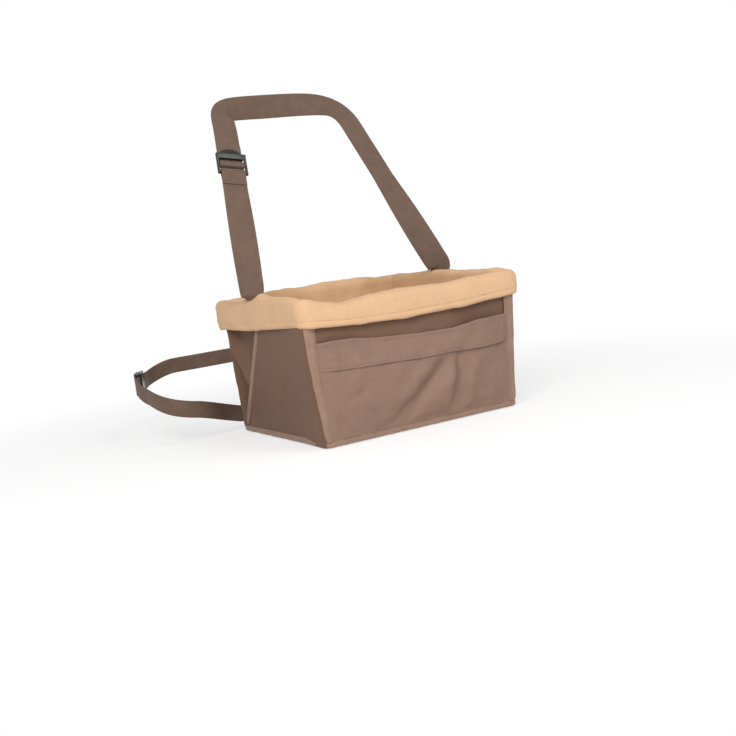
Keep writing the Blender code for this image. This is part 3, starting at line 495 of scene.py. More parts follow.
# Seam ridges: where two panels meet, their edges are turned out, folded into a narrow ridge
# and stitched down. They run up the front corners, along the sloping side seams and round
# the bottom.
# The cloth's colour. The pocket takes it 4% paler as a little painted light on the lit front, the ridges
# 22% paler as painted highlight, and the walls a darker copy as painted shade.
TAUPE = (0.230, 0.143, 0.102)
RIDGE_AROUND = 16
RIDGE_END_ROWS = 6
RIDGE_SQUARE = 0.75
RIDGE_CRUMPLE = ((0.0004, 0.012, 11), (0.00018, 0.004, 2))
THREAD = 0.00042
THREAD_FLAT = 0.8
THREAD_DARK = (0.13, 0.09, 0.068)
THREAD_PALE = (0.24, 0.17, 0.13)
STITCH_PITCH = 0.0036
STITCH_LENGTH = 0.0026
# The ridges' cloth is TAUPE made 22% paler: a painted highlight on the turned-out folds.
ridge_cloth_painted_highlight = woven("ridge_cloth_painted_highlight", shaded(TAUPE, 1.22), light=0.12, sheen=0.06, rough=0.5)


def squarish(wave):
    return np.sign(wave) * np.abs(wave) ** RIDGE_SQUARE


def ridge(name, middle, across, out, widths, thick, *nodes):
    # A flat rolled fold along a line of points, rounded off at both ends.
    count = len(middle)
    angles = np.linspace(0, 2 * pi, RIDGE_AROUND + 1)
    rows = np.zeros((count, RIDGE_AROUND + 1, 3))
    for k in range(count):
        near_end = min(k, count - 1 - k) / RIDGE_END_ROWS
        full = (1 - (1 - min(near_end, 1)) ** 2) ** 0.5
        wide = squarish(np.cos(angles)) * widths[k] / 2 * full
        deep = squarish(np.sin(angles)) * thick / 2 * full
        rows[k] = middle[k] + across[k] * wide[:, None] + out[k] * deep[:, None]
    ends = np.minimum(np.arange(count), np.arange(count)[::-1]) > 0
    piece = cloth(name, moved(rows, crumple(rows, *RIDGE_CRUMPLE) * ends[:, None], True), 0, True)
    return dress(piece, ridge_cloth_painted_highlight, "shell_fabric", "tub", *nodes)


bpy.ops.object.select_all(action="DESELECT")
bpy.ops.mesh.primitive_uv_sphere_add(segments=6, ring_count=4, radius=1)
stitch_model = bpy.context.object
stitch_points = np.array([v.co for v in stitch_model.data.vertices])
stitch_faces = [tuple(f.vertices) for f in stitch_model.data.polygons]
bpy.data.objects.remove(stitch_model, do_unlink=True)

thread_finish, tree, place = new_finish("thread")
twist = cloudy(tree, place["Object"], scale=1500, detail=2)
surface(tree, {"Base Color": ramp(tree, twist, THREAD_DARK, THREAD_PALE), "Roughness": 0.5,
               "Normal": relief(tree, twist, strength=0.4, depth=0.0002), "Sheen Weight": 0.3})


def stitching(name, line, out, slot):
    # Runs of lockstitch: one short capsule of thread after another along a line on the cloth.
    line, out = np.array(line), np.array(out)
    gone = np.concatenate(([0], np.cumsum(np.linalg.norm(np.diff(line, axis=0), axis=1))))
    verts, faces = [], []
    for k in range(int(gone[-1] / STITCH_PITCH)):
        middle = (k + 0.5) * STITCH_PITCH
        ends = (middle - STITCH_LENGTH / 2, middle + STITCH_LENGTH / 2)
        a, b = [np.array([np.interp(e, gone, line[:, c]) for c in range(3)]) for e in ends]
        normal = np.array([np.interp(middle, gone, out[:, c]) for c in range(3)])
        along = (b - a) / np.linalg.norm(b - a)
        side = np.cross(along, normal)
        side /= np.linalg.norm(side)
        shape = np.array((side * THREAD, np.cross(side, along) * THREAD * THREAD_FLAT,
                          along * STITCH_LENGTH / 2))
        faces += [tuple(i + len(verts) for i in f) for f in stitch_faces]
        verts += list((a + b) / 2 + stitch_points @ shape + BASKET_AT)
    mesh = bpy.data.meshes.new(name)
    mesh.from_pydata(verts, [], faces)
    piece = bpy.data.objects.new(name, mesh)
    bpy.context.scene.collection.objects.link(piece)
    faces_out(piece)
    bpy.ops.object.shade_smooth()
    return dress(piece, thread_finish, slot, "tub")


RIDGE_WIDTH = ((0.009, 0.158), (0.0105, 0.0170))
FRONT_RIDGE_Z = (0.0060, 0.176)
FRONT_RIDGE_ROWS = 70
FRONT_RIDGE_THICK = 0.0024
FRONT_RIDGE_OFF = 0.0025
FRONT_RIDGE_PAST = 0.0006
FRONT_STITCH_IN = 0.0028
FRONT_STITCH_OFF = 0.0016
SIDE_RIDGE_Z = (0.011, 0.160)
SIDE_RIDGE_ROWS = 60
SIDE_RIDGE_WIDE = 0.0105
SIDE_RIDGE_THICK = 0.0034
SIDE_RIDGE_OFF = 0.0018
SIDE_STITCH_IN = 0.0034
STITCH_OFF = 0.0014
STITCHED = slice(3, -1)
ridge_z = np.linspace(*FRONT_RIDGE_Z, FRONT_RIDGE_ROWS)
ridge_width = np.interp(ridge_z, *RIDGE_WIDTH)
slope_z = np.linspace(*SIDE_RIDGE_Z, SIDE_RIDGE_ROWS)
slope_y = SEAM_FOOT + (SEAM_TOP - SEAM_FOOT) * slope_z / HEIGHT
slope = np.array((0, SEAM_TOP - SEAM_FOOT, HEIGHT))
for side, word in ((-1, "left"), (1, "right")):
    edge = side * (half_width(-DEPTH, ridge_z) + flare(side, ridge_z) + FRONT_RIDGE_PAST)
    line = np.stack((edge - side * ridge_width / 2, 0 * ridge_z - DEPTH - FRONT_RIDGE_OFF, ridge_z), 1)
    lean = np.tile((1.0, 0, 0), (len(line), 1))
    front = np.tile((0, -1.0, 0), (len(line), 1))
    ridge("front_ridge_" + word, line, lean, front, ridge_width, FRONT_RIDGE_THICK, "front_welt_" + word)
    sewn = line + front * FRONT_STITCH_OFF - lean * side * (ridge_width[:, None] / 2 - FRONT_STITCH_IN)
    stitching("front_ridge_stitches_" + word, sewn[STITCHED], front[STITCHED], "shell_fabric")

    line = np.stack((side * (half_width(slope_y, slope_z) + SIDE_RIDGE_OFF), slope_y, slope_z), 1)
    lean = np.tile(np.cross(slope / np.linalg.norm(slope), (1.0, 0, 0)), (len(line), 1))
    outer = np.tile((side * 1.0, 0, 0), (len(line), 1))
    ridge("side_ridge_" + word, line, lean, outer, 0 * slope_z + SIDE_RIDGE_WIDE, SIDE_RIDGE_THICK,
          "side_welt_" + word)
    sewn = line + outer * STITCH_OFF - lean * SIDE_STITCH_IN
    stitching("side_ridge_stitches_" + word, sewn[STITCHED], outer[STITCHED], "shell_fabric")

BASE_RIDGE_HIGH = 0.0088
BASE_RIDGE_THICK = 0.0030
BASE_RIDGE_RISE = 0.0046
BASE_RIDGE_OFF = 0.0014
BASE_RIDGE_CORNER = SHELL_CORNER + 0.001
BASE_STITCH_UP = 0.0024
BASE_STITCHED = slice(3, -3)
first = WALL_CELLS[0] + CORNER_CELLS + 1
last = sum(WALL_CELLS) + 4 * CORNER_CELLS - first
ring_line = outline(BASE_RIDGE_RISE, BASE_RIDGE_OFF, BASE_RIDGE_CORNER)[first:last + 1]
bottom = np.column_stack((ring_line, np.full(len(ring_line), BASE_RIDGE_RISE)))
run = np.gradient(bottom, axis=0)
run /= np.linalg.norm(run, axis=1, keepdims=True)
outer = np.cross(run, (0, 0, 1.0))
lean = np.tile((0, 0, 1.0), (len(bottom), 1))
ridge("base_ridge", bottom, lean, outer, np.full(len(bottom), BASE_RIDGE_HIGH), BASE_RIDGE_THICK,
      "base_welt_front", "base_welt_left", "base_welt_right")
sewn = bottom + outer * STITCH_OFF + lean * BASE_STITCH_UP
stitching("base_ridge_stitches", sewn[BASE_STITCHED], outer[BASE_STITCHED], "shell_fabric")

# Front pocket: a flat patch of the same cloth, caught in the corner ridges and the bottom
# ridge, loose enough to crease and to gape along its wide hemmed mouth. Its curves are rows
# of places across the front, and the height or the distance off the wall there.
POCKET_MOUTH = ((-0.155, -0.127, -0.096, -0.062, 0.006, 0.058, 0.092, 0.125, 0.155),
                (0.1375, 0.1390, 0.1375, 0.1325, 0.1278, 0.1265, 0.1325, 0.1335, 0.1325))
POCKET_HEM = ((-0.150, -0.100, -0.031, 0.000, 0.046, 0.096, 0.150),
              (0.1022, 0.0990, 0.0968, 0.0950, 0.0958, 0.0942, 0.0972))
POCKET_GAPE = ((-0.150, -0.132, -0.105, -0.066, 0.000, 0.055, 0.085, 0.122, 0.148),
               (0.0004, 0.0072, 0.0062, 0.0010, 0.0006, 0.0012, 0.0100, 0.0140, 0.0010))
POCKET_BELLY = ((-0.150, -0.080, 0.010, 0.060, 0.150), (0.0085, 0.0095, 0.0082, 0.0072, 0.0058))
POCKET_FOOT = 0.0085
POCKET_HALF = 0.1505
POCKET_CELLS = (170, 84)
POCKET_EDGE = 0.0006
POCKET_UNDER = 0.0050
POCKET_LEAST = 0.0016
CREASE_PAST = 0.25
CREASE_IN = 0.4
CREASE_OUT = 0.45
CREASE_SWELL = 0.35
SWELL_OFF = 2
SWELL_WIDE = 1.2
POCKET_CREASES = (((0.046, 0.086), (-0.044, 0.016), 0.0115, 0.0078),
                  ((0.070, 0.092), (0.047, 0.006), 0.0100, 0.0090),
                  ((0.088, 0.088), (0.064, 0.052), 0.0065, 0.0020),
                  ((-0.120, 0.056), (-0.088, 0.068), 0.0070, 0.0014),
                  ((0.004, 0.092), (-0.040, 0.058), 0.0100, 0.0022))
CORNER_CREASE = ((-0.136, 0.040), (-0.125, 0.012), 0.0060, 0.0012)
POCKET_HELD = 0.12
FOOT_EASE = 0.012
GAPE_POWER = 4
BELLY_LOW = 0.9
POCKET_SOFT_UP = (POCKET_FOOT, 0.02)
POCKET_SOFT_IN = (-0.142, 0.015)
POCKET_WAVE = (0.0011, 0.030, 21)
POCKET_RIPPLE = (0.0004, 0.009, 4)
POCKET_GATHER = (0.0009, 0.0075, 4)
GATHER_MIDDLE = 0.010
GATHER_OUT = (0.080, 0.040)
GATHER_UP = 0.088
GATHER_HIGH = 0.022
GATHER_TALL = np.array((1, 1, 0.2))
POCKET_PROUD = 0.0003


def crease(x, z, start, end, width, depth):
    # A fold pressed in along a line, with a softer swell on each side of it.
    along = np.array(end) - np.array(start)
    reach = np.linalg.norm(along)
    along /= reach
    gone = ((x - start[0]) * along[0] + (z - start[1]) * along[1]) / reach
    off = ((x - start[0]) * -along[1] + (z - start[1]) * along[0]) / width
    fade = eased(gone, -CREASE_PAST, CREASE_IN) * eased(-gone, -1 - CREASE_PAST, CREASE_OUT)
    swell = CREASE_SWELL * np.exp(-((np.abs(off) - SWELL_OFF) / SWELL_WIDE) ** 2)
    return depth * fade * (swell - np.exp(-off ** 2))


def pocket_off(x, z, wide):
    # How far the pocket stands off the front wall.
    share = np.clip(x / wide, -1, 1)
    up = np.clip((z - POCKET_FOOT) / (np.interp(x, *POCKET_MOUTH) - POCKET_FOOT), 0, 1)
    held = smooth((1 - np.abs(share)) / POCKET_HELD)
    foot = eased(z, POCKET_FOOT, FOOT_EASE)
    off = np.interp(x, *POCKET_GAPE) * up ** GAPE_POWER
    off += np.interp(x, *POCKET_BELLY) * (1 - share ** 4) * np.sin(up ** BELLY_LOW * pi)
    for fold in POCKET_CREASES:
        off += crease(x, z, *fold) * held * foot
    off += crease(x, z, *CORNER_CREASE) * foot
    close = POCKET_LEAST * np.exp(np.minimum(off / POCKET_LEAST - 1, 0))
    return np.where(off > POCKET_LEAST, off, close)


def pocket_grid(low, high, cells, proud):
    # Points over the pocket between two curves of height, standing proud of the front wall.
    across = np.linspace(-1, 1, cells[0] + 1)[None]
    up = np.linspace(0, 1, cells[1] + 1)[:, None]
    x = across * POCKET_HALF
    z = np.interp(x, *low) * (1 - up) + np.interp(x, *high) * up
    half = half_width(-DEPTH, z) + flare(x, z) - np.interp(z, *RIDGE_WIDTH) + POCKET_UNDER
    x = across * half
    return x, z, np.stack((x, -DEPTH - proud - pocket_off(x, z, half), z), 2)


foot_curve = ((-1, 1), (POCKET_FOOT, POCKET_FOOT))
x, z, rows = pocket_grid(foot_curve, POCKET_MOUTH, POCKET_CELLS, FABRIC + POCKET_EDGE)
soft = eased(z, *POCKET_SOFT_UP) * eased(-np.abs(x), *POCKET_SOFT_IN)
gather = eased(np.abs(x - GATHER_MIDDLE), *GATHER_OUT) * np.exp(-((z - GATHER_UP) / GATHER_HIGH) ** 2)
wrinkle = crumple(rows, POCKET_WAVE, POCKET_RIPPLE)
wrinkle += crumple(rows * GATHER_TALL, POCKET_GATHER) * gather
pocket = cloth("front_pocket_cloth", moved(rows, wrinkle * soft + POCKET_PROUD), FABRIC)
# The pocket's cloth is TAUPE made 4% paler, a little painted light on the lit front.
pocket_finish = woven("pocket_cloth", shaded(TAUPE, 1.04), light=0.09, sheen=0.03, rough=0.5)
dress(pocket, pocket_finish, "shell_fabric", "tub", "front_pocket")

HEM_CELLS = (170, 30)
HEM_FABRIC = 0.0008
HEM_PROUD = 0.0010
HEM_PUCKER = (0.0010, 0.0070, 14)
HEM_PUCKER_OUT = (0.070, 0.045)
HEM_PUCKER_TALL = np.array((1, 1, 0.3))
HEM_WAVE = (0.0008, 0.016, 6)
HEM_FREE = 0.09
HEM_LIFT = 0.0006
HEM_LIFT_RIGHT = 0.0016
HEM_LIFT_FROM = (0.02, 0.08)
HEM_TURN = ((0.0006, 0.0009), (0.0016, 0.0013), (0.0027, 0.0009), (0.0032, -0.0002), (0.0034, -0.0050))
HEM_STITCH_OFF = 0.0002
HEM_OVER = 0.0005
HEM_SEAMS = (("low", 3), ("high", 27))
x, z, rows = pocket_grid(POCKET_HEM, POCKET_MOUTH, HEM_CELLS, HEM_OVER + FABRIC + POCKET_EDGE)
up = np.linspace(0, 1, HEM_CELLS[1] + 1)[:, None]
free = smooth((1 - np.abs(np.linspace(-1, 1, HEM_CELLS[0] + 1)[None])) / HEM_FREE)
gather = eased(np.abs(x - GATHER_MIDDLE), *HEM_PUCKER_OUT)
puckers = crumple(rows * HEM_PUCKER_TALL, HEM_PUCKER) * gather
lift = (1 - up) ** 2 * (HEM_LIFT + HEM_LIFT_RIGHT * eased(x, *HEM_LIFT_FROM))
hem_rows = moved(rows, (puckers + lift + crumple(rows, HEM_WAVE) + HEM_PROUD) * free)
turned = [hem_rows] + [hem_rows[-1:] + np.array((0, back, above)) for back, above in HEM_TURN]
hem = cloth("pocket_hem_cloth", np.concatenate(turned), HEM_FABRIC)
dress(hem, pocket_finish, "shell_fabric", "tub", "pocket_hem")
for word, row in HEM_SEAMS:
    stitching("pocket_hem_stitches_" + word, hem_rows[row] - np.array((0, HEM_STITCH_OFF, 0)),
              np.tile((0, -1.0, 0), (HEM_CELLS[0] + 1, 1)), "shell_fabric")


# Fleece liner: one thick soft fleece over the inside of the walls, folded out over the rim
# as a deep cuff. The rim sags in front and is drawn up where the shoulder straps pass through
# slits in the fold.
STRAP_Y = -0.46 * DEPTH
CUFF_FOOT = 0.1615
CUFF_OFF = 0.0100
CUFF_ROWS = 27
FOLD_FROM = 0.1935
FOLD_HIGH = 0.0103
FOLD_ROWS = 17
LINER_IN = -0.0100
LINER_STEPS = (0.0024, 0.0072, 38)
LINER_FOOT = 0.0066
LINER_FOOT_BEND = (-0.0086, -0.0068)
LINER_BACK = -0.0056
LINER_BACK_RUN = (0.012, 0.190, 40)
UNDER_FOLD = ((-0.0052, 0.1975), (-0.0030, 0.1986), (0.0012, 0.1986))
CUFF_BACK = 0.0028
CUFF_BACK_TOP = 0.196
CUFF_BACK_ROWS = 7
CUFF_EDGE_MIDDLE = 0.0064
CUFF_EDGE_ROUND = (0.0036, 0.0037)
CUFF_EDGE_ROWS = 9
LINER_CORNER = (0.0110, 0.6)
LINER_CORNER_LEAST = 0.004
HANGS_OUT = 0.002
OUTER_OUT = 0.0065
INNER_OUT = -0.0085
PLUSH_ABOVE = 0.1990
CUFF_HEM = 0.158
CUFF_RISES = (CUFF_HEM, 0.034)
LINER_RISES = (0.110, 0.080)
HEM_LEFT = ((-0.299, -0.283, -0.200, -0.127, -0.060, 0), (0.004, 0.005, 0.002, 0.000, 0.000, 0.001))
HEM_FRONT = ((-0.165, -0.102, -0.023, 0.052, 0.135, 0.163), (0.003, -0.002, -0.005, -0.004, 0.000, 0.002))
HEM_RIGHT = ((-0.3, 0), (0.002, 0.000))
HEM_BACK = ((-0.2, 0.2), (0, 0))
FRONT_DIP = ((-0.150, -0.128, -0.104, -0.078, -0.045, 0.110, 0.135, 0.160),
             (-0.0005, -0.0030, -0.0048, -0.0030, 0, 0, -0.0020, -0.0030))
DIP_UP = (0.185, 0.014)
DIP_FORWARD = (0.270, 0.020)
FLEECE_SWELL = ((0.0021, 0.046, 31), (0.0010, 0.016, 9), (0.00035, 0.0034, 1))
CUFF_BELLY = 0.0012
CUFF_HIGH = 0.040
GROOVE_DEPTH = 0.0008
GROOVE_UP = 0.0095
GROOVE_WIDE = 0.0015
PRESS_DEPTH = 0.0068
PRESS_HALF = 0.0215
PRESS_SQUARE = 8
PRESS_SIDE = 0.12
PRESS_ABOVE = 0.185
PRESS_OUT = 0.0045
PRESS_ROUND = 0.0038
BEHIND_WALL = (-0.016, 0.004)
SPREAD_RIGHT_UP = (0.08, 0.07)
SPREAD_LEFT = -0.0022
SPREAD_LEFT_UP = (0.14, 0.01)
SPREAD_OUT = (LINER_IN, 0.014)
FLEECE_TAN = (0.660, 0.424, 0.247)

# The fleece in section. Each point says how far it is out of the wall, and how high: up the
# outside of the cuff, over the fold, down the inner face, up behind it, and under the cuff.
section = [(CUFF_OFF, z) for z in np.linspace(CUFF_FOOT, FOLD_FROM, CUFF_ROWS)[:-1]]
for angle in np.radians(np.linspace(0, 180, FOLD_ROWS)):
    section.append((CUFF_OFF * cos(angle), FOLD_FROM + FOLD_HIGH * sin(angle)))
section += [(LINER_IN, FOLD_FROM - down) for down in np.cumsum(np.linspace(*LINER_STEPS))]
section += [(out, LINER_FOOT) for out in LINER_FOOT_BEND]
section += [(LINER_BACK, z) for z in np.linspace(*LINER_BACK_RUN)]
section += UNDER_FOLD
section += [(CUFF_BACK, z) for z in np.linspace(CUFF_BACK_TOP, CUFF_FOOT, CUFF_BACK_ROWS)]
for a in np.linspace(0, pi, CUFF_EDGE_ROWS)[1:]:
    across, down = CUFF_EDGE_ROUND
    section.append((CUFF_EDGE_MIDDLE - across * cos(a), CUFF_FOOT - down * sin(a)))
rings = []
for out, z in section:
    ring = outline(z, out, max(LINER_CORNER[0] + LINER_CORNER[1] * out, LINER_CORNER_LEAST))
    rings.append(np.column_stack((ring, np.full(len(ring), z))))
rows = np.array(rings)
out_of_wall = np.array([out for out, _ in section])[:, None]
x, y, z = rows[:, :, 0].copy(), rows[:, :, 1].copy(), rows[:, :, 2].copy()
hanging = out_of_wall > HANGS_OUT
outer_face = out_of_wall > OUTER_OUT
toward_rim = np.where(hanging, eased(z, *CUFF_RISES), eased(z, *LINER_RISES))
hem_rise = round_the_rim(x, y, HEM_LEFT, HEM_FRONT, HEM_RIGHT, HEM_BACK)
rows[:, :, 2] += toward_rim * rim_rise(x, y)
rows[:, :, 2] += np.where(hanging, (1 - toward_rim) * hem_rise, 0)
rows[:, :, 2] += eased(z, *DIP_UP) * eased(-y, *DIP_FORWARD) * np.interp(x, *FRONT_DIP)
plush = outer_face | (out_of_wall < INNER_OUT) | (z > PLUSH_ABOVE)
belly = CUFF_BELLY * np.sin(np.clip((z - CUFF_HEM) / CUFF_HIGH, 0, 1) * pi) * outer_face
amount = plush * (crumple(rows, *FLEECE_SWELL) + belly)
amount -= GROOVE_DEPTH * np.exp(-((z - CUFF_HEM - GROOVE_UP) / GROOVE_WIDE) ** 2) * outer_face
press = np.exp(-(np.abs(y - STRAP_Y) / PRESS_HALF) ** PRESS_SQUARE) * (np.abs(x) > PRESS_SIDE)
press = press * np.exp(-((out_of_wall - PRESS_OUT) / PRESS_ROUND) ** 2) * (z > PRESS_ABOVE)
rows = moved(rows, amount - PRESS_DEPTH * press, True)
behind = eased(np.abs(x) - half_width(y, z), *BEHIND_WALL) * (out_of_wall < 0)
rows[:, :, 0] -= np.sign(x) * pleat(y, np.clip(z, 0, HEIGHT)) * behind
spread = np.where(x > 0, flare(x, z) * eased(z, *SPREAD_RIGHT_UP), SPREAD_LEFT * eased(z, *SPREAD_LEFT_UP))
rows[:, :, 0] += spread * near_front(x, y) * eased(out_of_wall, *SPREAD_OUT)
fleece = cloth("fleece_liner", np.concatenate((rows, rows[:1])), 0, True)


def fleecy(name, colour, shade):
    # Short brushed pile: a mottled ground, fine fibres that catch the light, no gloss.
    finish, tree, place = new_finish(name)
    cloud = cloudy(tree, place["Object"], scale=26, detail=5, rough=0.6)
    pile = cloudy(tree, place["Object"], scale=520, detail=5, rough=0.7)
    tuft = node(tree, "TexVoronoi", {"Vector": place["Object"], "Scale": 620}).outputs["Distance"]
    ground = ramp(tree, cloud, [c * s for c, s in zip(colour, shade)], colour, (0.3, 0.7))
    fibre = span(tree, pile, (0.3, 0.7), (0.93, 1.04))
    tufts = relief(tree, mixed(tree, "Math", "SUBTRACT", pile, tuft), strength=0.35, depth=0.0005)
    surface(tree, {"Base Color": mixed(tree, "VectorMath", "MULTIPLY", ground, fibre),
                   "Roughness": 0.95, "Normal": relief(tree, cloud, strength=0.3, depth=0.002, under=tufts),
                   "Specular IOR Level": 0.15, "Sheen Weight": 0.15, "Sheen Roughness": 0.6,
                   "Sheen Tint": (1, 0.86, 0.70, 1)})
    return finish


fleece_cloth = fleecy("tan_fleece", FLEECE_TAN, shade=(0.93, 0.90, 0.88))
dress(fleece, fleece_cloth, "fleece", "tub", "liner_front", "liner_back", "liner_left", "liner_right",
      "cuff_front", "cuff_left", "cuff_right", "cuff_back")

# Floor pad: a loose fleece cushion that fits the bottom of the tub, thin at its sewn edge and
# full in the middle. A short cloth simulation blows it up, as stuffing does.
PAD_INSET = 0.0080
PAD_DRAWN_IN = 0.0012
PAD_FOOT = 0.0068
PAD_THICK = 0.0105
PAD_CUTS = 15
PAD_THIN_EDGE = 0.35
PAD_EDGE_POWER = 12
PAD_LEVEL = 0.01
PAD_VOXEL = 0.005
PAD_CAP = 0.006
PAD_PRESSURE = 4
PAD_FRAMES = 20
PAD_CROWN = 0.0045
PAD_CROWN_IN = (0.018, 0.012)
PAD_TAN = (0.74, 0.49, 0.29)
bpy.ops.object.select_all(action="DESELECT")
bpy.ops.mesh.primitive_cube_add(size=1)
pad = bpy.context.object
pad.name = "floor_pad"
bpy.ops.object.mode_set(mode="EDIT")
bpy.ops.mesh.subdivide(number_cuts=PAD_CUTS)
bpy.ops.object.mode_set(mode="OBJECT")
corner = np.array([v.co for v in pad.data.vertices]) * 2
u, v, w = corner[:, 0], corner[:, 1], corner[:, 2]
pad_y = -DEPTH / 2 + v * (DEPTH / 2 - PAD_INSET - PAD_DRAWN_IN * (1 - u * u))
pad_x = u * (half_width(pad_y, PAD_LEVEL) - PAD_INSET - PAD_DRAWN_IN * (1 - v * v))
edge = np.maximum(np.abs(u), np.abs(v)) ** PAD_EDGE_POWER
pad_z = PAD_FOOT + PAD_THICK / 2 + w * PAD_THICK / 2 * (1 - PAD_THIN_EDGE * edge)
pad.data.vertices.foreach_set("co", (np.stack((pad_x, pad_y, pad_z), 1) + BASKET_AT).ravel())
worked(pad, "REMESH", mode="VOXEL", voxel_size=PAD_VOXEL)
points = np.array([v.co for v in pad.data.vertices])
stuffing = pad.modifiers.new("stuffing", "CLOTH")
stuffing.settings.use_pressure = True
stuffing.settings.uniform_pressure_force = PAD_PRESSURE
stuffing.settings.effector_weights.gravity = 0
for step in range(1, PAD_FRAMES + 1):
    bpy.context.scene.frame_set(step)
view = bpy.context.evaluated_depsgraph_get()
blown = np.array([v.co for v in pad.evaluated_get(view).data.vertices])
pad.modifiers.remove(stuffing)
bpy.context.scene.frame_set(1)
shift = blown - points
size = np.linalg.norm(shift, axis=1, keepdims=True)
points = points + shift * np.minimum(1, PAD_CAP / np.maximum(size, NO_LENGTH))
height = np.clip((points[:, 2] - BASKET_AT[2] - PAD_FOOT) / PAD_THICK, 0, 1)
across = (points[:, 0] - BASKET_AT[0]) / (WIDTH / 2 - PAD_CROWN_IN[0])
deep = (points[:, 1] - BASKET_AT[1] + DEPTH / 2) / (DEPTH / 2 - PAD_CROWN_IN[1])
points[:, 2] += height * PAD_CROWN * np.clip(1 - across ** 4, 0, 1) * np.clip(1 - deep ** 4, 0, 1)
points[:, 2] = np.maximum(points[:, 2], BASKET_AT[2] + PAD_FOOT)
pad.data.vertices.foreach_set("co", points.ravel())
worked(pad, "SUBSURF", levels=1, render_levels=1)
bpy.ops.object.shade_smooth()
dress(pad, fleecy("pad_fleece", PAD_TAN, shade=(0.92, 0.88, 0.84)), "fleece", "tub", "liner_floor")

# Shoulder straps: 38 mm webbing. A short strap is sewn to the left wall, comes up through a
# slit in the cuff and is looped round the adjuster's foot bar. A long one is threaded through
# the adjuster, turns over in a loop and is sewn to the right wall in the same way.
GAP = 0.0003
WEB = 0.0014
SHOULDER_WEB = 0.038
STRAP_ROOT = 0.034
STRAP_RISE = 0.012
STRAP_STATIONS = 16
FIRST_TURN = radians(34)
TURNED_AT = 0.62
HEAD_LEFT = Vector((-0.098, 0.012, 0.452))
HEAD_RIGHT = Vector((0.122, 0.012, 0.452))
LOOP_TOP = Vector((0, 0.075, 0.500))
LOOP_UP = 0.055
LOOP_ACROSS = 0.090
LOOP_STATIONS = 14
LOCK_DISTANCE = 0.219
LOCK_BAR = 0.005
LOCK_THICK = 0.0045
GRIP_BAR_START = 0.0105
GRIP_BAR_END = 0.0165
GRIP_BAR_THICK = 0.0036
LOCK_TOP = 0.046
ABOVE_LOCK = 0.060
HEM_LENGTH = 0.030
HEM_SEAM = 0.013
TAIL_LENGTH = 0.054
FOOT_WRAP = 110
BEND_STEPS = 6
PLY_HALF = WEB / 2 + GAP / 2
BIGHT_BACK = -(LOCK_THICK / 2 + GAP + WEB / 2)
LOAD_BACK = BIGHT_BACK - WEB - GAP
BAR_ROUND = LOCK_BAR / 2 + GAP + WEB / 2
STRAP_STEP = 0.003
STRAP_FACE = np.array((-1, -0.93, -0.6, -0.2, 0.2, 0.6, 0.93, 1))
WOVEN_EDGE = 0.9
EDGE_PROUD = 0.00012
EDGE_ROUND = 1.004
WEBBING_BROWN = (0.150, 0.094, 0.067)
SHOULDER_RIB = 0.0013
WARP_SHARE = 0.8


def ribbed(name, rib):
    # Webbing: close ribs across the strap over fine warp yarns along it, worn a little paler.
    finish, tree, place = new_finish(name)
    ribs = yarns(tree, place["UV"], apart=rib, direction="Y", wobble=0.5)
    warp = yarns(tree, place["UV"], apart=rib * WARP_SHARE, direction="X", wobble=0.4)
    weave = mixed(tree, "Math", "SMOOTH_MIN", ribs, warp, 0.2)
    wear = cloudy(tree, place["Object"], scale=60, detail=6, rough=0.65)
    shade = ramp(tree, wear, shaded(WEBBING_BROWN, 0.88), shaded(WEBBING_BROWN, 1.16), (0.3, 0.72))
    yarn = span(tree, weave, (0, 0.8), (0.78, 1.14))
    surface(tree, {"Base Color": mixed(tree, "VectorMath", "MULTIPLY", shade, yarn),
                   "Roughness": span(tree, wear, (0, 1), (0.5, 0.66)),
                   "Normal": relief(tree, weave, strength=0.5, depth=rib / 3), "Sheen Weight": 0.03,
                   "Sheen Roughness": 0.4, "Specular IOR Level": 0.2})
    return finish


def webbing(name, stations, width):
    # A woven strap along its stations, each a point and the direction of its width, with
    # slightly thicker woven edges and square-cut ends.
    points = [Vector(p) for p, _ in stations]
    count = len(points)
    runs = [(points[min(k + 1, count - 1)] - points[max(k - 1, 0)]).normalized() for k in range(count)]
    smooth_points, widths = [points[0]], [Vector(stations[0][1])]
    for k in range(count - 1):
        reach = (points[k + 1] - points[k]).length
        steps = max(2, int(reach / STRAP_STEP) + 1)
        curve = interpolate_bezier(points[k], points[k] + runs[k] * reach / 3,
                                   points[k + 1] - runs[k + 1] * reach / 3, points[k + 1], steps + 1)
        for step, point in enumerate(curve[1:], 1):
            smooth_points.append(point)
            widths.append(Vector(stations[k][1]).lerp(Vector(stations[k + 1][1]), step / steps))
    line = np.array(smooth_points)
    run = np.gradient(line, axis=0)
    run /= np.linalg.norm(run, axis=1, keepdims=True)
    side = np.array(widths)
    side -= run * (side * run).sum(1, keepdims=True)
    side /= np.linalg.norm(side, axis=1, keepdims=True)
    face = np.cross(side, run)
    off = np.where(np.abs(STRAP_FACE) > WOVEN_EDGE, WEB / 2, WEB / 2 - EDGE_PROUD)
    off[[0, -1]] = WEB / 4
    across = np.concatenate((STRAP_FACE, [EDGE_ROUND], STRAP_FACE[::-1], [-EDGE_ROUND], STRAP_FACE[:1]))
    across *= width / 2
    depth = np.concatenate((off, [0], -off[::-1], [0], off[:1]))
    body = line[:, None] + side[:, None] * across[None, :, None] + face[:, None] * depth[None, :, None]
    first = np.repeat(line[:1, None], len(across), 1)
    last = np.repeat(line[-1:, None], len(across), 1)
    return cloth(name, np.concatenate((first, body, last)), 0, True)


def web_root(side):
    return Vector((side * (half_width(STRAP_Y, HEIGHT) + GAP + WEB / 2), STRAP_Y, HEIGHT))


def strap_leaves(side):
    # Where the strap comes out of the slit in the cuff.
    return web_root(side) + Vector((0, 0, STRAP_RISE))


def strap_head(side):
    return HEAD_RIGHT if side > 0 else HEAD_LEFT


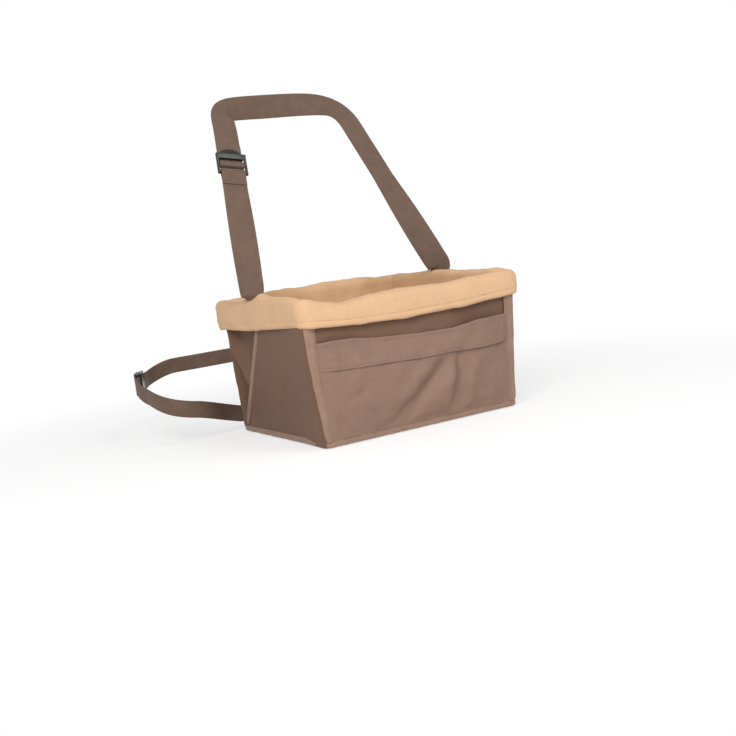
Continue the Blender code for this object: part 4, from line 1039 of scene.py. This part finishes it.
def strap_direction(side):
    return (strap_head(side) - strap_leaves(side)).normalized()


def strap_rise(side):
    # From the sewn root, up through the cuff, to the foot of the loop. Both straps turn
    # their faces forwards as soon as they leave the slit.
    root = web_root(side)
    taper = Vector((side * BOTTOM_TAPER / HEIGHT, 0, 1))
    level = Vector((-BACK_NARROWING / DEPTH, side, 0))
    stations = [(root - taper * STRAP_ROOT, level), (root, level)]
    for k in range(STRAP_STATIONS + 1):
        share = k / STRAP_STATIONS
        turn = FIRST_TURN + min(share / TURNED_AT, 1) * (pi / 2 - FIRST_TURN)
        across = Vector((-side * sin(turn), side * cos(turn), 0))
        stations.append((strap_leaves(side).lerp(strap_head(side), share), across))
    return stations


def arc(centre, radius, start, end, steps):
    # Points (along the strap, out of its face) on an arc in degrees.
    angles = [radians(start + (end - start) * k / steps) for k in range(steps + 1)]
    return [(centre[0] + radius * cos(a), centre[1] + radius * sin(a)) for a in angles]


lock_up = strap_direction(-1)
lock_across = (Vector((1, 0, 0)) - lock_up * lock_up.x).normalized()
lock_out = lock_across.cross(lock_up)
lock_foot = strap_leaves(-1) + lock_up * LOCK_DISTANCE


def on_lock(path):
    return [(lock_foot + lock_up * along + lock_out * off, lock_across) for along, off in path]


def threaded_path(bar_start, bar_end, bar_half, load_off, tail_off, tail_end):
    # Webbing drawn up in front of a grip bar and out again as a tail.
    wrap = WEB / 2 + GAP
    lead = bar_start - wrap
    path = [(bar_start + WEB, load_off), (bar_start, load_off), (lead, load_off + WEB), (lead, 0)]
    path += arc((bar_start, bar_half), wrap, 180, 90, BEND_STEPS // 2)
    path += arc((bar_end, bar_half), wrap, 90, 0, BEND_STEPS // 2)
    path += [(bar_end + wrap, tail_off + WEB), (bar_end + WEB + wrap, tail_off), (tail_end, tail_off)]
    return path


stations = []
for k, (point, across) in enumerate(strap_rise(-1)):
    behind = lock_out * PLY_HALF if k >= 3 else Vector()
    if (point - lock_foot).dot(lock_up) < -HEM_LENGTH - HEM_SEAM:
        stations.append((point - behind, across))
stations += on_lock([(-HEM_LENGTH, -PLY_HALF), (-HEM_SEAM, -PLY_HALF)])
stations += on_lock(arc((0, 0), BAR_ROUND, -FOOT_WRAP, FOOT_WRAP, 2 * BEND_STEPS))
stations += on_lock([(-HEM_SEAM, PLY_HALF), (-HEM_LENGTH + HEM_SEAM / 2, PLY_HALF)])
strap_web = ribbed("shoulder_webbing", SHOULDER_RIB)
dress(webbing("shoulder_strap_short", stations, SHOULDER_WEB), strap_web, "webbing", "tub",
      "shoulder_strap_left")

head_left = HEAD_LEFT + lock_out * LOAD_BACK
path = [(head_left, lock_across)] + on_lock([(ABOVE_LOCK, LOAD_BACK), (LOCK_TOP, LOAD_BACK)])
path += on_lock(threaded_path(GRIP_BAR_START, GRIP_BAR_END, GRIP_BAR_THICK / 2, LOAD_BACK, BIGHT_BACK,
                              TAIL_LENGTH))
adjusting = dress(webbing("shoulder_strap_adjusting", path, SHOULDER_WEB), strap_web, "webbing", None,
                  "strap_bight")
basket = Vector(BASKET_AT)
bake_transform(adjusting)


def loop_turn(end, up, out, sign):
    # From the foot of the loop to the middle of its rear run.
    inward = Vector((sign, 0, 0))
    points = interpolate_bezier(end, end + up * LOOP_UP, LOOP_TOP - inward * LOOP_ACROSS, LOOP_TOP,
                                LOOP_STATIONS)
    turned = []
    for k, point in enumerate(points):
        run = points[min(k + 1, len(points) - 1)] - points[max(k - 1, 0)]
        face = out.lerp(Vector((0, -1, 0)), k / (len(points) - 1))
        turned.append((point, run.cross(face).normalized() * sign))
    return turned


right_out = Vector((-lock_out.x, lock_out.y, lock_out.z))
stations = [(head_left, lock_across)] + loop_turn(head_left + lock_up * STRAP_STEP, lock_up, lock_out, 1)
stations += loop_turn(HEAD_RIGHT, strap_direction(1), right_out, -1)[::-1][1:]
stations += strap_rise(1)[::-1][1:]
dress(webbing("shoulder_strap_long", stations, SHOULDER_WEB), strap_web, "webbing", "tub",
      "headrest_strap")

HEM_ROWS = (("near", 0.0012), ("far", 0.0048))
HEM_ROW_HALF = 0.0178
HEM_POINTS = 9
THREAD_PROUD = 0.0001
for word, below in HEM_ROWS:
    middle = lock_foot - lock_up * (HEM_SEAM + below) + lock_out * (2 * PLY_HALF + THREAD_PROUD)
    line = [middle + lock_across * HEM_ROW_HALF * share for share in np.linspace(-1, 1, HEM_POINTS)]
    stitching("shoulder_hem_stitches_" + word, line, [lock_out] * HEM_POINTS, "webbing")

# Adjuster: a black moulded ladder lock with a thumb tab. It hangs in the sewn loop of the
# short strap and grips the long one on its ribbed bar.
PLASTIC_BLACK = (0.013, 0.012, 0.0115)
PLASTIC_ROUGH = 0.26
LOCK_INNER = 0.0395 / 2
LOCK_OUTER = 0.0470 / 2
LOCK_HALF = LOCK_THICK / 2
LOCK_FOOT = -0.0042
SIDE_EDGE = 0.0011
GRIP_EDGE = 0.0009
LET_IN = 0.001
TOP_BAR = (0.0240, 0.0340)
TOP_EDGE = 0.0018
BAR_LEAN = radians(11)
BAR_PROUD = 0.0008
TAB_REACH = 0.0118
TAB_HALF = 0.0172
TAB_THICK = 0.0028
TAB_EDGE = 0.0009
TAB_IN_BAR = 0.0040
TAB_BELOW_TOP = 0.002
TAB_LIFT = radians(-3)
TAB_RIBS = ((0.012, 0.0022), (0.009, 0.0048), (0.006, 0.0074))
RIB_WIDE = 0.0010
RIB_EDGE = 0.0003
RIB_LOW = 0.0004
RIB_HIGH = 0.0006
LOCK_SMOOTH = radians(35)


def moulded(name, colour, rough):
    # Moulded plastic: fine spark-eroded grain, faint flow marks and paler rubbed places.
    finish, tree, place = new_finish(name)
    grain = cloudy(tree, place["Object"], scale=2200, detail=3)
    flow = cloudy(tree, place["Object"], scale=90, detail=5, rough=0.6)
    surface(tree, {"Base Color": ramp(tree, flow, shaded(colour, 0.8), shaded(colour, 1.7)),
                   "Roughness": span(tree, flow, (0.25, 0.75), (rough - 0.08, rough + 0.1)),
                   "Normal": relief(tree, grain, strength=0.25, depth=0.0002),
                   "Specular IOR Level": 0.32})
    return finish


def finish_nodes(finish, *names):
    for name in names:
        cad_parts[name].material_slots[0].material = finish


def rounded_box(low, high, edge):
    # A block with rounded edges, between two corners.
    low, high = Vector(low), Vector(high)
    bpy.ops.mesh.primitive_cube_add(size=1)
    part = bpy.context.object
    part.data.transform(Matrix.Translation((low + high) / 2) @ Matrix.Diagonal((*(high - low), 1)))
    worked(part, "BEVEL", width=edge, segments=4)
    return part


def bar(half, start, end, thick_half, edge):
    # A bar across the lock, the same on both sides of its middle.
    return rounded_box((-half, start, -thick_half), (half, end, thick_half), edge)


black_plastic = moulded("black_plastic", PLASTIC_BLACK, PLASTIC_ROUGH)
lock_parts = []
for side in (-1, 1):
    ends = sorted((side * LOCK_INNER, side * LOCK_OUTER))
    lock_parts.append(rounded_box((ends[0], LOCK_FOOT, -LOCK_HALF), (ends[1], TOP_BAR[1], LOCK_HALF),
                                  SIDE_EDGE))
top_bar = bar(LOCK_OUTER, *TOP_BAR, LOCK_HALF, TOP_EDGE)
bar_middle = Matrix.Translation((0, sum(TOP_BAR) / 2, 0))
leant = Matrix.Translation((0, 0, BAR_PROUD)) @ Matrix.Rotation(BAR_LEAN, 4, "X")
top_bar.data.transform(bar_middle @ leant @ bar_middle.inverted())
lock_parts.append(top_bar)
lock_parts.append(bar(LOCK_INNER + LET_IN, GRIP_BAR_START, GRIP_BAR_END, GRIP_BAR_THICK / 2, GRIP_EDGE))
bpy.ops.mesh.primitive_cylinder_add(vertices=32, radius=LOCK_BAR / 2, depth=2 * (LOCK_INNER + LET_IN))
bpy.context.object.data.transform(Matrix.Rotation(pi / 2, 4, "Y"))
lock_parts.append(bpy.context.object)
bpy.ops.mesh.primitive_cylinder_add(vertices=72, radius=1, depth=TAB_THICK)
tab = bpy.context.object
tab.data.transform(Matrix.Diagonal((TAB_HALF, TAB_REACH, 1, 1)))
bpy.ops.object.mode_set(mode="EDIT")
bpy.ops.mesh.select_all(action="SELECT")
bpy.ops.mesh.bisect(plane_co=(0, -TAB_IN_BAR, 0), plane_no=(0, -1, 0), clear_outer=True, use_fill=True)
bpy.ops.object.mode_set(mode="OBJECT")
worked(tab, "BEVEL", width=TAB_EDGE, segments=3)
tab_parts = [tab]
for half, start in TAB_RIBS:
    tab_parts.append(rounded_box((-half, start, TAB_THICK / 2 - RIB_LOW),
                                 (half, start + RIB_WIDE, TAB_THICK / 2 + RIB_HIGH), RIB_EDGE))
for part in tab_parts:
    part.data.transform(Matrix.Translation((0, TOP_BAR[1] - TAB_BELOW_TOP, 0))
                        @ Matrix.Rotation(TAB_LIFT, 4, "X"))
lock_piece = lock_parts[0]
for part in lock_parts[1:] + tab_parts:
    worked(lock_piece, "BOOLEAN", operation="UNION", solver="EXACT", object=part)
    bpy.data.objects.remove(part, do_unlink=True)
lock_piece.name = "ladder_lock_moulding"
lock_pose = Matrix((lock_across, lock_up, lock_out)).transposed().to_4x4()
lock_pose.translation = lock_foot + basket
lock_piece.data.transform(lock_pose)
bpy.ops.object.shade_smooth_by_angle(angle=LOCK_SMOOTH)
dress(lock_piece, black_plastic, "black_plastic", "lock", "ladder_lock")

# Waist strap: 25 mm webbing from the rear foot of the left wall, round behind, to the rear
# foot of the right wall. A side-release buckle joins it at the left.
BELT_WEB = 0.025
BELT_RIB = 0.0012
BELT_ROOT_RISE = 0.026
BELT_SEWN_IN = 0.0035
BELT_SIDE_RISE = 0.048
BELT_REAR_RISE = 0.098
BELT_TURN_HALF = 0.222
BELT_TURN_FORWARD = 0.026
BELT_HALF = 0.276
BELT_SIDE_SETBACK = 0.045
BELT_REAR_SETBACK = 0.222
BELT_CORNER = 0.055
CORNER_HANDLE = 0.55
BELT_STATIONS = 10
TAIL_END_HALF = 0.165
BUCKLE_TURN = radians(65)
MOUTH = Vector((-0.251095, 0.148252, 0.08673))
SOCKET_LENGTH = 0.040
YOKE_BAR = 0.003
YOKE_THICK = 0.0045
PLUG_GRIP_START = 0.0125
PLUG_GRIP_END = 0.0165
PLUG_END = 0.0255
BELT_HEM = 0.022
BELT_SEAM = 0.010
BELT_TAIL = 0.024
ROOT_TWIST = radians(14)
TWIST_MIDDLE = 0.12
TWIST_SPREAD = 0.30
PLUG_TAIL = -(YOKE_THICK / 2 + GAP + WEB / 2)
PLUG_LOAD = PLUG_TAIL - WEB - GAP
UP = Vector((0, 0, 1))
belt_web = ribbed("waist_webbing", BELT_RIB)
slide = Vector((cos(BUCKLE_TURN), sin(BUCKLE_TURN), 0))
buckle_out = Vector((-sin(BUCKLE_TURN), cos(BUCKLE_TURN), 0))


def belt_points(side):
    # The strap's corners from the rear seam round the side to the back run.
    root_x = half_width(0, BELT_ROOT_RISE) - BELT_SEWN_IN
    root = Vector((side * root_x, -FABRIC / 2, BELT_ROOT_RISE))
    forward = Vector((side * BELT_TURN_HALF, -BELT_TURN_FORWARD, BELT_SIDE_RISE))
    flank = Vector((side * BELT_HALF, BELT_SIDE_SETBACK, (BELT_SIDE_RISE + BELT_REAR_RISE) / 2))
    rear = Vector((side * BELT_HALF, BELT_REAR_SETBACK - BELT_CORNER, BELT_REAR_RISE))
    corner = Vector((side * (BELT_HALF - BELT_CORNER), BELT_REAR_SETBACK, BELT_REAR_RISE))
    return root, forward, flank, rear, corner


def upright(points):
    return [(point, UP) for point in points]


def belt_front(side):
    # From the rear seam to the side, with a twist where it leaves the seam.
    root, forward, flank, _, _ = belt_points(side)
    outwards = Vector((side, 0, 0))
    reach = (forward - root).length
    sewn = root + outwards * (BELT_SEWN_IN + WEB)
    seam = Vector((side * BOTTOM_TAPER / HEIGHT, 0, 1)).normalized()
    climb = Vector((0, 0, (forward.z - sewn.z) / 3))
    first = interpolate_bezier(sewn, sewn + outwards * reach / 3 + climb,
                               forward - outwards * reach / 3 - climb, forward, 2 * BELT_STATIONS)
    reach = (flank - forward).length
    climb = Vector((0, 0, (flank.z - forward.z) / 3))
    second = interpolate_bezier(forward, forward + outwards * reach / 2 + climb,
                                flank - Vector((0, reach / 2, 0)) - climb, flank, BELT_STATIONS)
    stations = []
    for k, point in enumerate([root] + first):
        share = max(k - 1, 0) / (len(first) - 1)
        lean = ROOT_TWIST * np.exp(-((share - TWIST_MIDDLE) / TWIST_SPREAD) ** 2)
        across = Vector((0, -sin(lean), cos(lean)))
        stations.append((point, seam.lerp(across, min(1, share / TWIST_SPREAD)).normalized()))
    return stations + upright(second[1:])


def on_buckle(path):
    return [MOUTH + slide * along + buckle_out * off for along, off in path]


def sewn_loop(bar_start, bar_end, bar_half):
    # Webbing passed behind a flat bar, round it, and sewn back onto itself in front.
    wrap = WEB / 2 + GAP
    off = bar_half + wrap
    path = [(bar_start - BELT_HEM, -PLY_HALF), (bar_start - BELT_SEAM, -PLY_HALF), (bar_start, -off)]
    path += arc((bar_end, -bar_half), wrap, -90, 0, BEND_STEPS // 2)
    path += arc((bar_end, bar_half), wrap, 0, 90, BEND_STEPS // 2)
    path += [(bar_start, off), (bar_start - BELT_SEAM, PLY_HALF)]
    return path + [(bar_start - BELT_HEM + WEB, PLY_HALF)]


flank = belt_points(-1)[2]
loop = on_buckle(sewn_loop(-SOCKET_LENGTH, YOKE_BAR - SOCKET_LENGTH, YOKE_THICK / 2))
reach = (loop[0] - flank).length
run = interpolate_bezier(flank, flank + Vector((0, reach / 3, 0)), loop[0] - slide * reach / 3, loop[0],
                         BELT_STATIONS)
left_belt = webbing("waist_strap_socket_end", belt_front(-1) + upright(run[1:] + loop[1:]), BELT_WEB)
dress(left_belt, belt_web, "webbing", "tub", "waist_strap_left")

_, _, flank, rear, corner = belt_points(1)
turn = Vector((rear.x, corner.y, rear.z))
around = interpolate_bezier(rear, rear.lerp(turn, CORNER_HANDLE), corner.lerp(turn, CORNER_HANDLE),
                            corner, BELT_STATIONS)
tail_end = Vector((-TAIL_END_HALF, BELT_REAR_SETBACK, BELT_REAR_RISE))
points = around + [Vector((0, BELT_REAR_SETBACK, BELT_REAR_RISE)), tail_end]
right_belt = webbing("waist_strap_back_run", belt_front(1) + upright(points), BELT_WEB)
dress(right_belt, belt_web, "webbing", "tub", "waist_strap_right")

lead = on_buckle([(PLUG_END + BELT_TAIL + WEB, PLUG_LOAD)])[0]
reach = (tail_end - lead).length
points = interpolate_bezier(tail_end, tail_end - Vector((reach / 3, 0, 0)), lead + slide * reach / 3,
                            lead, BELT_STATIONS)
points += on_buckle(threaded_path(PLUG_GRIP_START, PLUG_GRIP_END, YOKE_THICK / 2, PLUG_LOAD, PLUG_TAIL,
                                  PLUG_END + BELT_TAIL))
tail_belt = webbing("waist_strap_plug_end", upright(points), BELT_WEB)
dress(tail_belt, belt_web, "webbing", None, "waist_strap_tail")
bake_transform(tail_belt)

BELT_ROWS = (("near", 0.0125), ("far", 0.0160))
BELT_ROW_HALF = 0.0113
BELT_POINTS = 7
for word, below in BELT_ROWS:
    middle = MOUTH - slide * (below + SOCKET_LENGTH) + buckle_out * (2 * PLY_HALF + THREAD_PROUD)
    line = [middle + UP * BELT_ROW_HALF * share for share in np.linspace(-1, 1, BELT_POINTS)]
    stitching("waist_hem_stitches_" + word, line, [buckle_out] * BELT_POINTS, "webbing")

# Side-release buckle: a moulded socket with two windows, and a plug whose two springy arms
# catch in them.
finish_nodes(black_plastic, "buckle_socket", "buckle_plug", "latch_arm_upper", "latch_arm_lower")

# Tether ring: a steel D-ring in a webbing tab, sewn to the back wall inside the basket. The
# wire has one straight side, two tight corners and a half round.
RING_WIRE = 0.003
RING_HALF = 0.0115
RING_DEPTH = 0.016
RING_HANG = Vector((0, -0.0135, 0.128))
RING_AROUND = 12
RING_STRAIGHT = 12
RING_TURN = 6
RING_ROUND = 30
RING_GREY = (0.62, 0.61, 0.59, 1)
TAB_WEB = 0.015
TAB_LENGTH = 0.028
steel, tree, place = new_finish("ring_steel")
drawn = cloudy(tree, place["Object"], scale=800, detail=4)
surface(tree, {"Base Color": RING_GREY, "Metallic": 1,
               "Roughness": span(tree, drawn, (0, 1), (0.18, 0.36)),
               "Normal": relief(tree, drawn, strength=0.1, depth=0.0002)})
corner_x = RING_HALF - RING_WIRE
bend = [(x, 0) for x in np.linspace(-corner_x, corner_x, RING_STRAIGHT)]
for a in np.linspace(0, pi / 2, RING_TURN)[1:]:
    bend.append((RING_HALF - RING_WIRE * (1 - sin(a)), -RING_WIRE * (1 - cos(a))))
for a in np.linspace(0, pi, RING_ROUND)[1:]:
    bend.append((RING_HALF * cos(a), -RING_WIRE - RING_DEPTH * sin(a)))
for a in np.linspace(0, pi / 2, RING_TURN)[1:-1]:
    bend.append((-RING_HALF + RING_WIRE * (1 - cos(a)), -RING_WIRE * (1 - sin(a))))
bend = np.array(bend + bend[:1])
along = np.roll(bend[:-1], -1, 0) - np.roll(bend[:-1], 1, 0)
along = np.concatenate((along, along[:1]))
along /= np.linalg.norm(along, axis=1, keepdims=True)
angles = np.linspace(0, 2 * pi, RING_AROUND + 1)[:, None]
wire = RING_WIRE / 2
ring_rows = np.stack((RING_HANG.x + bend[None, :, 0] + wire * np.cos(angles) * -along[None, :, 1],
                      RING_HANG.y + wire * np.sin(angles) + 0 * bend[None, :, 0],
                      RING_HANG.z + bend[None, :, 1] + wire * np.cos(angles) * along[None, :, 0]), 2)
dress(cloth("tether_d_ring", ring_rows, 0, True), steel, "steel", "ring", "tether_ring")

tab_round = RING_WIRE / 2 + GAP + WEB / 2
tab_path = [(tab_round, TAB_LENGTH)]
tab_path += arc((0, 0), tab_round, 0, -180, 2 * BEND_STEPS)
tab_path.append((-tab_round, TAB_LENGTH))
stations = [(RING_HANG + Vector((0, off, up)), Vector((1, 0, 0))) for off, up in tab_path]
dress(webbing("tether_tab", stations, TAB_WEB), belt_web, "webbing", "tub", "ring_tab")

# Stiffeners: grey board inside the walls and under the floor, hidden between the fabric and
# the fleece.
BOARD_DARK = (0.28, 0.28, 0.27)
BOARD_PALE = (0.42, 0.42, 0.41)
board_finish, tree, place = new_finish("stiffener_board")
flutes = node(tree, "TexWave", {"Vector": place["Object"], "Scale": 75, "Distortion": 0.2},
              bands_direction="X")
specks = cloudy(tree, place["Object"], scale=300, detail=4)
surface(tree, {"Base Color": ramp(tree, specks, BOARD_DARK, BOARD_PALE), "Roughness": 0.6,
               "Normal": relief(tree, flutes.outputs["Fac"], strength=0.2, depth=0.0005)})
finish_nodes(board_finish, "front_board", "back_board", "side_board_left", "side_board_right", "base_board")
